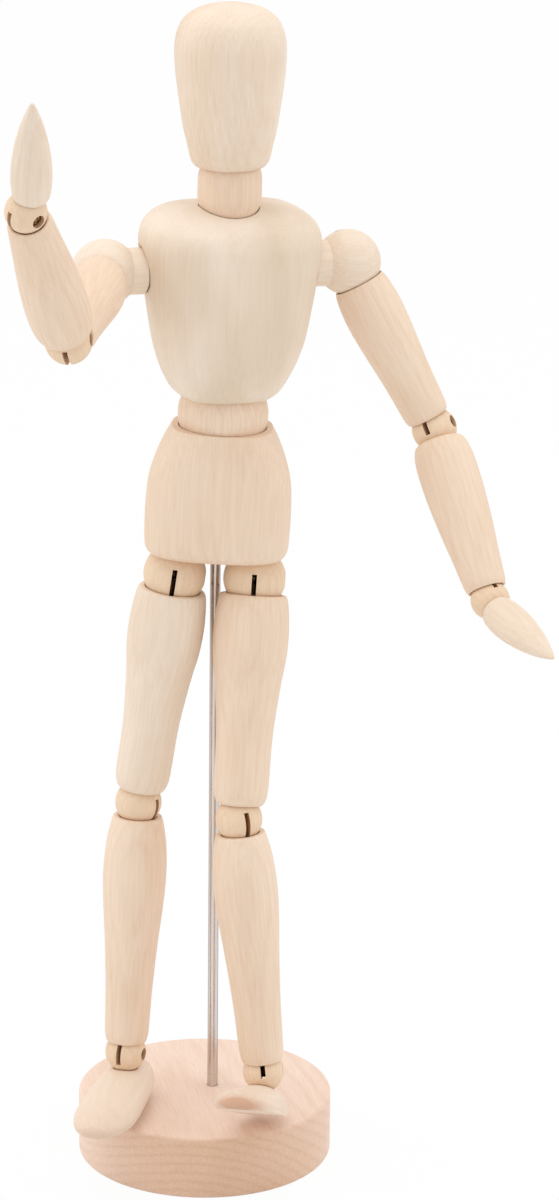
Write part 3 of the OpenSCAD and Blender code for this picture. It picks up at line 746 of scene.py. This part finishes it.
def make_limb(name, number, tones, outer, near_joint, near_ball, far_joint, far_ball):
    # A limb hangs from its near joint; the outline's first and last points are its two rims.
    near, far = place_of(near_joint), place_of(far_joint)
    length = (far - near).length / MM
    far_rim = (outer[-1][0], outer[-1][1] - length)
    outline = smooth_through(outer[:-1] + [far_rim])
    outline += [(r, h - length) for r, h in dish(far_ball + CLEARANCE, BORE, outer[-1][1])]
    outline += [(r, -h) for r, h in reversed(dish(near_ball + CLEARANCE, BORE, -outer[0][1]))]
    limb_frame = standing(axis_of(near_joint), near - far, near)
    limb = piece_from(turned(outline), f"{name}_turned", limb_frame)
    soften(limb, 0.22)
    shift = PITH_SWING * math.sin(PITH_STEP * number)
    limb.data.materials.append(
        wood(f"{name}_wood", limb_frame, number, tones, pith=(16 + shift, 24 - shift, 0))
    )
    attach(limb, name)
    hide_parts(name)


for number, (side, thigh_tones) in enumerate((("right", PALE_TONES), ("left", WARM_TONES))):
    make_limb(
        f"{side}_thigh", 30 + number, thigh_tones, THIGH,
        f"{side}_hip_swing", HIP_BALL, f"{side}_knee_swing", BALLS["knee"][0],
    )
    make_limb(
        f"{side}_calf", 32 + number, WARM_TONES, CALF,
        f"{side}_knee_swing", BALLS["knee"][0], f"{side}_ankle_swing", BALLS["ankle"][0],
    )


# Feet: blocks rounded like half an egg from heel to toe, sawn flat for the sole, and dished on top
# for the ankle ball, whose peg turns in a hole in the foot.
FOOT = [
    (-10.4, 0.4, 0.3, -2.8), (-9.9, 3.2, 2, -2.6), (-8.4, 5.2, 3.6, -1.8), (-5, 6.8, 5.4, -0.5),
    (0, 7.4, 6.3, 0), (5, 7.8, 6.3, 0), (11, 8.2, 5.9, 0), (17.5, 8.5, 5.2, 0), (24, 8.2, 4.3, 0),
    (29.5, 6.6, 3.2, 0), (32.7, 4.1, 2.1, 0), (33.8, 1.9, 1, 0), (34, 0.4, 0.3, 0),
]
ROUND = 2
SOLE = 11.7
FOOT_AXIS = 1.4
PEG_HOLE_START = 3
FOOT_PEG_HOLE = 10.6
FOOT_TURN = {"right": 7.0, "left": -8.5}
FOOT_TONES = (238, 219, 199), (206, 164, 136), (184, 142, 112)
# End grain strength per foot: the right foot's is plain end grain, while the left foot's is strong so that
# its toe, turned to the front, is painted in shade.
FOOT_END_GRAIN_AND_TOE_SHADE = {"right": 0.3, "left": 1.3}
lying = Matrix.Rotation(math.radians(90), 4, "X")
for number, side in enumerate(("right", "left")):
    ankle_frame = ball_frames[f"{side}_ankle"]
    ankle = ankle_frame.to_translation()
    upright = axis_towards(f"{side}_foot_turn", Vector((0, 0, 1)))
    pin = ankle_frame.to_3x3().col[0]
    foot_frame = standing(pin, upright, ankle) @ Matrix.Rotation(math.radians(FOOT_TURN[side]), 4, "Z")
    egg = block(FOOT, ROUND)
    egg.transform(Matrix.Translation((0, 0, (FOOT_AXIS - SOLE) * MM)) @ lying)
    bmesh.ops.bisect_plane(
        egg, geom=egg.verts[:] + egg.edges[:] + egg.faces[:], plane_co=(0, 0, -SOLE * MM),
        plane_no=(0, 0, -1), clear_outer=True,
    )
    bmesh.ops.holes_fill(egg, edges=[e for e in egg.edges if e.is_boundary], sides=0)
    bmesh.ops.recalc_face_normals(egg, faces=egg.faces)
    foot = piece_from(egg, f"{side}_foot_block", foot_frame)
    carve(foot, [
        seat(BALLS["ankle"][0] + CLEARANCE, ankle),
        drill(PEG / 2 + CLEARANCE, (0, 0, -PEG_HOLE_START), (0, 0, -FOOT_PEG_HOLE), foot_frame),
    ])
    soften(foot, 0.3)
    # Painted shade: the left toe is darkened through its strong end grain and the deep foot tone.
    foot.data.materials.append(wood(
        f"{side}_foot_wood", foot_frame @ lying, 34 + number, FOOT_TONES, rings=0.04, streaks=0.1,
        drift=0.14, end_grain_and_shade=FOOT_END_GRAIN_AND_TOE_SHADE[side], pith=(20, 30, 0),
    ))
    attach(foot, f"{side}_foot")
    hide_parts(f"{side}_foot")


# Waist ball: a large plain ball between pelvis and chest, turned from warm hardwood and bored
# through for the waist spring, which holds it in both dishes.
def bored_ball_outline(radius, bore, stretch=0, steps=64):
    start = math.asin(bore / radius)
    outline = []
    for k in range(steps + 1):
        a = start + (math.pi - 2 * start) * k / steps
        outline.append((radius * math.sin(a), radius * math.cos(a) + (stretch if a <= math.pi / 2 else 0)))
    return outline


waist_frame = standing(hips[1] - hips[0], axis_of("waist_turn"), waist)
waist_ball = piece_from(turned(bored_ball_outline(WAIST_BALL, BORE)), "waist_bored_ball", waist_frame)
soften(waist_ball, 0.25)
waist_ball.data.materials.append(wood(
    "waist_ball_wood", waist_frame, 40, WARM_TONES, ring_spacing=1.5, streaks=0.45, pith=(18, 20, 0),
))
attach(waist_ball, "waist_ball")
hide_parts("waist_ball")


# Chest: a block like the pelvis, wide at the shoulders and narrow at the waist, dished for the
# waist ball, the neck and both shoulder balls.
CHEST = [
    (5.6, 12.1, 12, 0), (6.6, 13.4, 12.6, 0.3), (8.4, 14.9, 12.9, 0.8), (13, 17.4, 13.1, 1.6),
    (18, 19.3, 13.3, 2.2), (22.5, 20.5, 13.4, 2.5), (31.8, 22.2, 13.6, 2.5), (37.4, 23, 13.7, 2.4),
    (43, 23.9, 13.6, 2.1), (47, 24.3, 13.4, 1.7), (50.2, 23.7, 12.6, 0.8), (52.4, 22.3, 10.9, -0.8),
    (54.2, 19.8, 8.7, -2.6), (55.4, 16.8, 6.6, -4), (55.8, 14.5, 5.6, -4.6),
]
CHEST_BORE = (5, 56)
NECK_BALL = 8.4
shoulders = place_of("right_shoulder_turn"), place_of("left_shoulder_turn")
across_shoulders = shoulders[1] - shoulders[0]
between_shoulders = (shoulders[0] + shoulders[1]) / 2
neck_low = place_of("neck_bend")
chest_frame = standing(across_shoulders, neck_low - waist, waist)
shoulder_x = across_shoulders.length / 2 / MM
shoulder_height = (between_shoulders - waist).length / MM
chest = piece_from(block(CHEST, SQUARENESS), "chest_block", chest_frame)
shoulder_seats = [
    chest_frame @ Vector((direction * (shoulder_x - STUB) * MM, 0, shoulder_height * MM))
    for direction in (-1, 1)
]
carve(chest, [
    seat(WAIST_BALL + CLEARANCE, waist),
    seat(NECK_BALL + CLEARANCE, neck_low),
    *(seat(SHOULDER_BALL + CLEARANCE, place) for place in shoulder_seats),
    drill(BORE, (-shoulder_x, 0, shoulder_height), (shoulder_x, 0, shoulder_height), chest_frame),
    drill(BORE, (0, 0, CHEST_BORE[0]), (0, 0, CHEST_BORE[1]), chest_frame),
    seat(POCKET, between_shoulders),
])
soften(chest, 0.3)
chest.data.materials.append(wood(
    "chest_wood", chest_frame, 46, MIXED_TONES, rings=0.04, streaks=0.1, drift=0.6, end_grain_and_shade=0,
    pith=(10, -34, 0),
))
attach(chest, "chest")
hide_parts("chest")


# Neck: a short barrel with round ends, turned like the balls and bored through for the neck
# spring, which holds it between the dishes of chest and head.
neck_high = place_of("neck_tilt")
neck_length = (neck_high - neck_low).length / MM
neck_frame = standing(across_shoulders, neck_low - waist, neck_low)
neck = piece_from(turned(bored_ball_outline(NECK_BALL, BORE, neck_length)), "neck_barrel", neck_frame)
soften(neck, 0.25)
neck.data.materials.append(
    wood("neck_wood", neck_frame, 42, WARM_TONES, ring_spacing=1.5, pith=(10, 13, 0))
)
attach(neck, "neck_ball")
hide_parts("neck_ball")


# Head: a turned egg with no face, hollowed from below for the neck and its spring, with a small
# hole for the screw eye that the spring hooks into.
HEAD = [
    (8.4, 0), (9.4, 0.5), (10.4, 2.2), (11.2, 5.8), (12.2, 10), (13, 15), (13.7, 20), (14.3, 25),
    (14.55, 29.5), (14.35, 33), (13.5, 36.2), (11.8, 38.9), (8.4, 41.1), (4.2, 42.2), (0.4, 42.5),
]
NECK_RIM = 3.6
HEAD_HOLLOW = 22.5
EYE_HOLE = 0.55
EYE_HOLE_END = 29
head_outline = [(0, HEAD[-1][1] + NECK_RIM)]
head_outline += [(r, h + NECK_RIM) for r, h in reversed(smooth_through(HEAD))]
head_outline += dish(NECK_BALL + CLEARANCE, EYE_HOLLOW, NECK_RIM)
head_outline += [
    (EYE_HOLLOW, HEAD_HOLLOW), (EYE_HOLE, HEAD_HOLLOW), (EYE_HOLE, EYE_HOLE_END), (0, EYE_HOLE_END),
]
head_frame = standing(across_shoulders, axis_of("head_turn"), neck_high)
head = piece_from(turned(head_outline), "head_egg", head_frame)
soften(head, 0.3)
head.data.materials.append(wood("head_wood", head_frame, 43, PALE_TONES, drift=0.7, pith=(-20, 30, 0)))
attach(head, "head")
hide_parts("head")


# Upper arms and forearms: turned like the legs but slimmer, each with a long swell and a thin rim
# at both ends.
UPPER_ARM = [
    (6.8, -6.2), (7.4, -8.4), (7.9, -13), (7.9, -18), (7.4, -25), (6.8, -32), (6.4, -38), (6.2, -43),
    (6, -45.5), (5.6, 3.8),
]
FOREARM = [
    (6.2, -3.8), (6.9, -4.6), (7.6, -7), (7.95, -11), (7.9, -18), (7.3, -27), (6.4, -36), (5.9, -41.5),
    (5.6, -44.5), (5.1, 3.0),
]
for number, side in enumerate(("right", "left")):
    make_limb(
        f"{side}_upper_arm", 50 + number, WARM_TONES, UPPER_ARM,
        f"{side}_arm_raise", SHOULDER_BALL, f"{side}_elbow_swing", BALLS["elbow"][0],
    )
    make_limb(
        f"{side}_forearm", 52 + number, WARM_TONES, FOREARM,
        f"{side}_elbow_swing", BALLS["elbow"][0], f"{side}_wrist_swing", BALLS["wrist"][0],
    )


# Hands: flat paddles sanded to a blunt tip, dished for the wrist ball, whose peg turns in a hole
# in the hand. Each stands a little off the line of its peg.
HAND = [
    (-32, 0.4, 0.4, 0), (-29.6, 1.5, 1.2, 0), (-25, 3, 2.3, 0), (-19.5, 4.2, 3.2, 0), (-14, 4.9, 3.8, 0),
    (-9, 5, 4, 0), (-5.4, 4.6, 4, 0), (-4.2, 4.1, 3.7, 0), (-3.6, 3.4, 3.2, 0),
]
HAND_SHIFT = {"right": 1.2, "left": -1.2}
HAND_TURN = {"right": -52.0, "left": -48.5}
HAND_PEG_HOLE = 12.2
for number, side in enumerate(("right", "left")):
    wrist = place_of(f"{side}_wrist_swing")
    upright = axis_towards(f"{side}_hand_turn", place_of(f"{side}_elbow_swing") - wrist)
    pin = ball_frames[f"{side}_wrist"].to_3x3().col[0]
    hand_frame = standing(pin, upright, wrist) @ Matrix.Rotation(math.radians(HAND_TURN[side]), 4, "Z")
    shifted = hand_frame @ Matrix.Translation((HAND_SHIFT[side] * MM, 0, 0))
    hand = piece_from(block(HAND, ROUND, count=96), f"{side}_hand_paddle", shifted)
    carve(hand, [
        seat(BALLS["wrist"][0] + CLEARANCE, wrist),
        drill(PEG / 2 + CLEARANCE, (0, 0, -PEG_HOLE_START), (0, 0, -HAND_PEG_HOLE), hand_frame),
    ])
    soften(hand, 0.22)
    hand.data.materials.append(
        wood(f"{side}_hand_wood", hand_frame, 54 + number, PALE_TONES, pith=(12, 16, 0))
    )
    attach(hand, f"{side}_hand")
    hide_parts(f"{side}_hand")


# Cross screws: small brassed screws with a domed head and a cross, one through each slotted ball,
# where it holds the eyes of the springs. Their heads lie sunk in the balls.
SCREW_RADIUS = 0.6
SCREW_HEAD = 1.6
SCREW_HEAD_THICKNESS = 0.9
CROSS = (2.0, 0.5, 0.8)
DOME = 1.3
THREAD_TURNS = 12
THREAD_LENGTH = 0.7
THREAD_START = 0.95
THREAD_RIDGE = 0.12
brassed = metal("screw_brass", (176, 142, 98), (112, 84, 54))


def swept(tree, path, facets, radius):
    section = add_node(tree, "GeometryNodeCurvePrimitiveCircle", {"Resolution": facets, "Radius": radius})
    return add_node(tree, "GeometryNodeCurveToMesh", {
        "Curve": path, "Profile Curve": section["Curve"], "Fill Caps": True,
    })["Mesh"]


def cross_screw_tree():
    # A screw along Z, whose head stands on the XY plane.
    tree, given, result = new_tree("cross screw", "GeometryNodeTree", {
        "Float": ("Shank Length", "Shank Radius", "Head Radius", "Head Thickness"),
        "Vector": ("Cross",), "Material": ("Finish",),
    }, {"Geometry": ("Geometry",)})

    def scaled(value, factor):
        return calculate(tree, "MULTIPLY", value, factor)

    facets = 48
    head_radius, thickness = given["Head Radius"], given["Head Thickness"]
    rim = raised(tree, cylinder(tree, facets, head_radius, thickness), scaled(thickness, 0.5))
    dome_radius = scaled(head_radius, DOME)
    dome = raised(
        tree, sphere(tree, 64, 64, dome_radius), calculate(tree, "SUBTRACT", thickness, dome_radius),
    )
    recess = add_node(tree, "GeometryNodeMeshCube", {"Size": given["Cross"]})["Mesh"]
    crossed = cut_out(tree, combined(tree, "INTERSECT", rim, dome), *(
        raised(tree, recess, thickness, Rotation=(0, 0, turn)) for turn in (0, math.radians(90))
    ))
    length, shank_radius = given["Shank Length"], given["Shank Radius"]
    shank = raised(tree, cylinder(tree, facets, shank_radius, length), scaled(length, -0.5))
    thread = add_node(tree, "GeometryNodeCurveSpiral", {
        "Resolution": 16, "Rotations": THREAD_TURNS, "Start Radius": shank_radius,
        "End Radius": shank_radius, "Height": scaled(length, THREAD_LENGTH),
    })["Curve"]
    wound = swept(tree, thread, 5, scaled(shank_radius, THREAD_RIDGE))
    ridge = raised(tree, wound, scaled(length, -THREAD_START))
    joined = add_node(tree, "GeometryNodeJoinGeometry", {"Geometry": [crossed, shank, ridge]})["Geometry"]
    feed_node(tree, result, {"Geometry": coated(tree, joined, given["Finish"])})
    return tree


cross_screw = cross_screw_tree()
lying_screw = Matrix.Rotation(math.radians(90), 4, "Y")
for kind, (radius, _, _) in BALLS.items():
    for side in ("right", "left"):
        name = f"{side}_{kind}_screw"
        head_seat = Matrix.Translation((0, 0, (radius - HEAD_SEAT) * MM))
        screw = made_by(cross_screw, f"{name}_domed", {
            "Shank Length": 2 * (radius - HEAD_SEAT) * MM,
            "Shank Radius": SCREW_RADIUS * MM,
            "Head Radius": SCREW_HEAD * MM,
            "Head Thickness": SCREW_HEAD_THICKNESS * MM,
            "Cross": Vector(CROSS) * MM,
            "Finish": brassed,
        }, ball_frames[f"{side}_{kind}"] @ lying_screw @ head_seat)
        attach(screw, frame["nodes"][name]["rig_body"])
        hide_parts(name)


# Springs: each is one length of steel wire, close wound, with an eye or a hook at both ends, and
# painted a dark brown steel for the shade it lies in. They pull the balls into their seats, and an
# eye that fills a slot has two turns.
WIRE = 0.6
TURN_GAP = 1.03
COIL = 1.15
COIL_END = 0.2
EYE = 1.3
EYE_OFFSET = 1.05
HOOK = 2.15
HOOK_OFFSET = 1.0
HOOK_REACH = 6.45
HEAD_EYE = 20.0
STAPLE_BEND = 1.7
# Dark brown steel: painted shade for wire that lies in the slots and bores.
painted_shade_steel = metal("spring_wire_painted_shade", (156, 126, 96), (102, 78, 56))


def wire_tree():
    # Round wire along a chain of points.
    tree, given, result = new_tree("bent wire", "GeometryNodeTree", {
        "Geometry": ("Path",), "Float": ("Wire",), "Material": ("Finish",),
    }, {"Geometry": ("Geometry",)})
    path = add_node(tree, "GeometryNodeMeshToCurve", {"Mesh": given["Path"]})["Curve"]
    drawn = swept(tree, path, 8, given["Wire"])
    feed_node(tree, result, {"Geometry": coated(tree, drawn, given["Finish"])})
    return tree


bent_wire = wire_tree()


def loop_of_wire(centre, pin, towards, offset, radius=EYE, turns=1, count=20):
    # Points round a pin, from the wire's free end to the side that the coil lies on.
    down = towards - centre
    down = (down - down.dot(pin) * pin).normalized()
    side = pin.cross(down)
    points = []
    for k in range(turns * count + 1):
        a = -2 * math.pi * (turns * count - k) / count
        along = offset + (k / count - turns / 2) * WIRE if turns > 1 else offset
        points.append(centre + MM * (along * pin + radius * (math.cos(a) * down + math.sin(a) * side)))
    return points


def coil_along(centreline, flat, count=16):
    # Close-wound turns round a centreline that lies flat across one direction.
    lengths = [0.0]
    for first, second in zip(centreline, centreline[1:]):
        lengths.append(lengths[-1] + (second - first).length)
    turns = int(lengths[-1] / (WIRE * TURN_GAP * MM))
    total = turns * count
    points = []
    piece = 0
    for k in range(total + 1):
        reach = lengths[-1] * k / total
        while piece < len(lengths) - 2 and lengths[piece + 1] < reach:
            piece += 1
        first, second = centreline[piece], centreline[piece + 1]
        ahead = (second - first).normalized()
        middle = first + ahead * (reach - lengths[piece])
        across = flat.cross(ahead).normalized()
        swell = min(1.0, COIL_END + k / count, COIL_END + (total - k) / count)
        a = 2 * math.pi * k / count
        points.append(middle + COIL * MM * swell * (math.cos(a) * across + math.sin(a) * flat))
    return points


def add_wire(name, path, node, body):
    wire = made_by(
        bent_wire, name, {"Wire": WIRE / 2 * MM, "Finish": painted_shade_steel}, path=[tuple(point) for point in path],
    )
    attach(wire, body)
    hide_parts(node)


def pin_of(ball):
    return ball_frames[ball].to_3x3().col[0]


# The eye in a ball's hollow turns with that ball, so it is parted from its coil on the line that
# the ball turns about. An eye in a slot swings with its coil.
for limb, near, near_offset, far, far_offset in (
    ("thigh", "hip", 0, "knee", EYE_OFFSET), ("calf", "knee", 0, "ankle", 0),
    ("upper_arm", "shoulder", 0, "elbow", 0), ("forearm", "elbow", EYE_OFFSET, "wrist", 0),
):
    for side in ("right", "left"):
        node = f"{side}_{limb}_spring"
        near_ball, far_ball = f"{side}_{near}", f"{side}_{far}"
        start = ball_frames[near_ball].to_translation()
        end = ball_frames[far_ball].to_translation()
        ahead = (end - start).normalized()
        pin = pin_of(near_ball)
        coil_ends = [
            start + ahead * (BALLS[near][0] + WIRE) * MM, end - ahead * (BALLS[far][0] + WIRE) * MM,
        ]
        coil = coil_along(coil_ends, (pin - pin.dot(ahead) * ahead).normalized())
        near_loop = loop_of_wire(start, pin, end, near_offset, turns=1 if near_offset else 2)
        far_loop = loop_of_wire(end, pin_of(far_ball), start, far_offset, turns=1 if far_offset else 2)
        if near_offset:
            add_wire(f"{node}_eye", near_loop + coil_ends[:1], node, f"{near_ball}_ball")
        else:
            coil = near_loop + coil
        if far_offset:
            add_wire(f"{node}_eye", far_loop + coil_ends[1:], node, f"{far_ball}_ball")
        else:
            coil = coil + far_loop[::-1]
        add_wire(f"{node}_wound", coil, node, f"{side}_{limb}")

across_hips = (hips[1] - hips[0]).normalized()
front_pelvis = pelvis_frame.to_3x3().col[1]
staple = []
for side, corner_start in ((-1, 180), (1, 90)):
    leg = [(side * hip_x, HIP_BALL + WIRE)]
    corner = []
    for k in range(10):
        a = math.radians(corner_start - 10 * k)
        corner.append((
            side * (hip_x - STAPLE_BEND) + STAPLE_BEND * math.cos(a),
            BRIDGE - STAPLE_BEND + STAPLE_BEND * math.sin(a),
        ))
    staple += leg + corner if side < 0 else corner + leg
staple = [pelvis_frame @ Vector((x * MM, 0, z * MM)) for x, z in staple]
add_wire("hip_spring_wound", coil_along(staple, front_pelvis), "hip_spring", "pelvis")

across_chest = chest_frame.to_3x3().col[0]
up_chest = chest_frame.to_3x3().col[2]
half = (shoulder_x - SHOULDER_BALL - 2 * WIRE) * MM
shoulder_coil = [between_shoulders - across_chest * half, between_shoulders + across_chest * half]
add_wire("shoulder_spring_wound", coil_along(shoulder_coil, up_chest), "shoulder_spring", "chest")

for side, hip, hip_end, hip_offset, shoulder, shoulder_end in (
    ("right", hips[0], staple[0], -EYE_OFFSET, shoulders[0], shoulder_coil[0]),
    ("left", hips[1], staple[-1], EYE_OFFSET, shoulders[1], shoulder_coil[1]),
):
    hip_eye = loop_of_wire(hip, pin_of(f"{side}_hip"), hip_end, hip_offset)
    add_wire(f"hip_spring_{side}_eye", hip_eye + [hip_end], "hip_spring", f"{side}_hip_ball")
    shoulder_eye = loop_of_wire(shoulder, pin_of(f"{side}_shoulder"), shoulder_end, EYE_OFFSET)
    add_wire(
        f"shoulder_spring_{side}_eye", shoulder_eye + [shoulder_end], "shoulder_spring",
        f"{side}_shoulder_ball",
    )


def above(point, distance):
    return point + up_chest * distance * MM


# The waist and neck springs bend where a ball tilts, so each is parted at the balls' faces.
up_waist = waist_frame.to_3x3().col[2]
bridge_middle = pelvis_frame @ Vector((0, 0, BRIDGE * MM))
waist_low = bridge_middle + up_waist * HOOK_REACH * MM
low_hook = loop_of_wire(bridge_middle, across_hips, waist, 0, HOOK)
add_wire("waist_spring_low_hook", low_hook + [waist_low], "waist_spring", "pelvis")
waist_coil = coil_along([waist_low, waist + up_waist * WAIST_BALL * MM], front_pelvis)
add_wire("waist_spring_wound", waist_coil, "waist_spring", "waist_ball")
waist_coil = coil_along([
    above(waist, WAIST_BALL + CLEARANCE), above(between_shoulders, -HOOK_REACH),
], across_chest)
high_hook = loop_of_wire(between_shoulders, across_chest, waist, -HOOK_OFFSET, HOOK)
add_wire("waist_spring_high_hook", waist_coil + high_hook[::-1], "waist_spring", "chest")

neck_hook = loop_of_wire(between_shoulders, across_chest, neck_low, HOOK_OFFSET, HOOK)
neck_coil = coil_along([
    above(between_shoulders, HOOK_REACH), above(neck_low, -(NECK_BALL + CLEARANCE)),
], across_chest)
add_wire("neck_spring_hook", neck_hook + neck_coil, "neck_spring", "chest")
neck_coil = coil_along([above(neck_low, -NECK_BALL), above(neck_high, NECK_BALL)], across_chest)
add_wire("neck_spring_wound", neck_coil, "neck_spring", "neck_ball")
neck_eye = above(neck_high, HEAD_EYE - EYE)
head_coil = coil_along([
    above(neck_high, NECK_BALL + CLEARANCE), above(neck_eye, -(EYE + 2 * WIRE)),
], across_chest)
head_loop = loop_of_wire(neck_eye, across_chest, neck_low, 0)
add_wire("neck_spring_eye", head_coil + head_loop[::-1], "neck_spring", "head")


# Screw eye: a small eye bent from the springs' kind of steel and driven up into the head, where
# the neck spring hooks in. It takes the springs' dark steel, painted as shade.
frame["nodes"]["head_screw_eye"].material_slots[0].material = painted_shade_steel


# Pegs: short hardwood dowels glued into the ankle and wrist balls, on which feet and hands turn.
# Their grain runs along them.
for number, (name, kind) in enumerate((
    ("right_foot_peg", "ankle"), ("left_foot_peg", "ankle"), ("right_hand_peg", "wrist"),
    ("left_hand_peg", "wrist"),
)):
    side = name.split("_")[0]
    frame["nodes"][name].material_slots[0].material = wood(
        f"{name}_wood", ball_frames[f"{side}_{kind}"], 60 + number, WARM_TONES,
    )


# Studio: a white paper floor, soft light all round with wide lamps above and at both sides, and a
# long lens looking slightly down.
FLOOR_DROP = 0.1 * MM
PAPER_GREY = 0.86
WHITE_SHARE = 0.95
TENT_STRENGTH = 0.85
LAMPS = (
    ("top_lamp", (-0.1, -0.1, 1.5), 1.4, 6.0),
    ("left_lamp", (-1.2, 0.1, 0.5), 1.2, 2.6),
    ("right_lamp", (1.2, 0.1, 0.5), 1.2, 2.2),
)
LAMP_TARGET = Vector((0, 0, 0.16))
CAMERA_PLACE = (0.0194, -1.09, 0.4986)
CAMERA_DOWN = 17.26
CAMERA_ROLL = 0.6
LENS = 127.44


def seen_itself(tree):
    # 1 where a surface is seen, directly or in a reflection, and 0 where it lights other things.
    rays = add_node(tree, "ShaderNodeLightPath")
    return calculate(tree, "MAXIMUM", rays["Is Camera Ray"], rays["Is Glossy Ray"])


sweep_shape = bmesh.new()
bmesh.ops.create_grid(sweep_shape, x_segments=8, y_segments=8, size=6)
sweep = piece_from(sweep_shape, "white_floor", Matrix.Translation((0, 0, -FLOOR_DROP)))
paper, tree = new_material("white_paper")
matt = feed_node(tree, tree.nodes["Principled BSDF"], {
    "Base Color": (PAPER_GREY, PAPER_GREY, PAPER_GREY, 1), "Roughness": 0.9,
})
paper_white = add_node(tree, "ShaderNodeMixShader", {
    "Fac": calculate(tree, "MULTIPLY", seen_itself(tree), WHITE_SHARE),
    1: matt.outputs["BSDF"], 2: add_node(tree, "ShaderNodeEmission")["Emission"],
})
feed_node(tree, tree.nodes["Material Output"], {"Surface": paper_white["Shader"]})
sweep.data.materials.append(paper)

world = bpy.data.worlds.new("light tent")
bpy.context.scene.world = world
world.use_nodes = True
tree = world.node_tree
strength = add_node(tree, "ShaderNodeMapRange", {
    "Value": seen_itself(tree), "To Min": TENT_STRENGTH, "To Max": 1.0,
})
feed_node(tree, tree.nodes["Background"], {
    "Color": (1, 1, 1, 1), "Strength": strength["Result"],
})

for name, place, size, power in LAMPS:
    lamp = add_object(name, bpy.data.lights.new(name, "AREA"))
    lamp.data.shape = "DISK"
    lamp.data.size = size
    lamp.data.energy = power
    lamp.location = place
    lamp.rotation_euler = (LAMP_TARGET - Vector(place)).to_track_quat("-Z", "Y").to_euler()

camera = add_object("camera", bpy.data.cameras.new("camera"))
camera.data.sensor_fit = "AUTO"
camera.data.sensor_width = 36
camera.data.lens = LENS
pitch = Matrix.Rotation(math.radians(90 - CAMERA_DOWN), 4, "X")
roll = Matrix.Rotation(math.radians(CAMERA_ROLL), 4, "Z")
camera.matrix_world = Matrix.Translation(CAMERA_PLACE) @ pitch @ roll
bpy.context.scene.camera = camera
bpy.context.scene.view_settings.view_transform = "Standard"

bpy.context.view_layer.update()
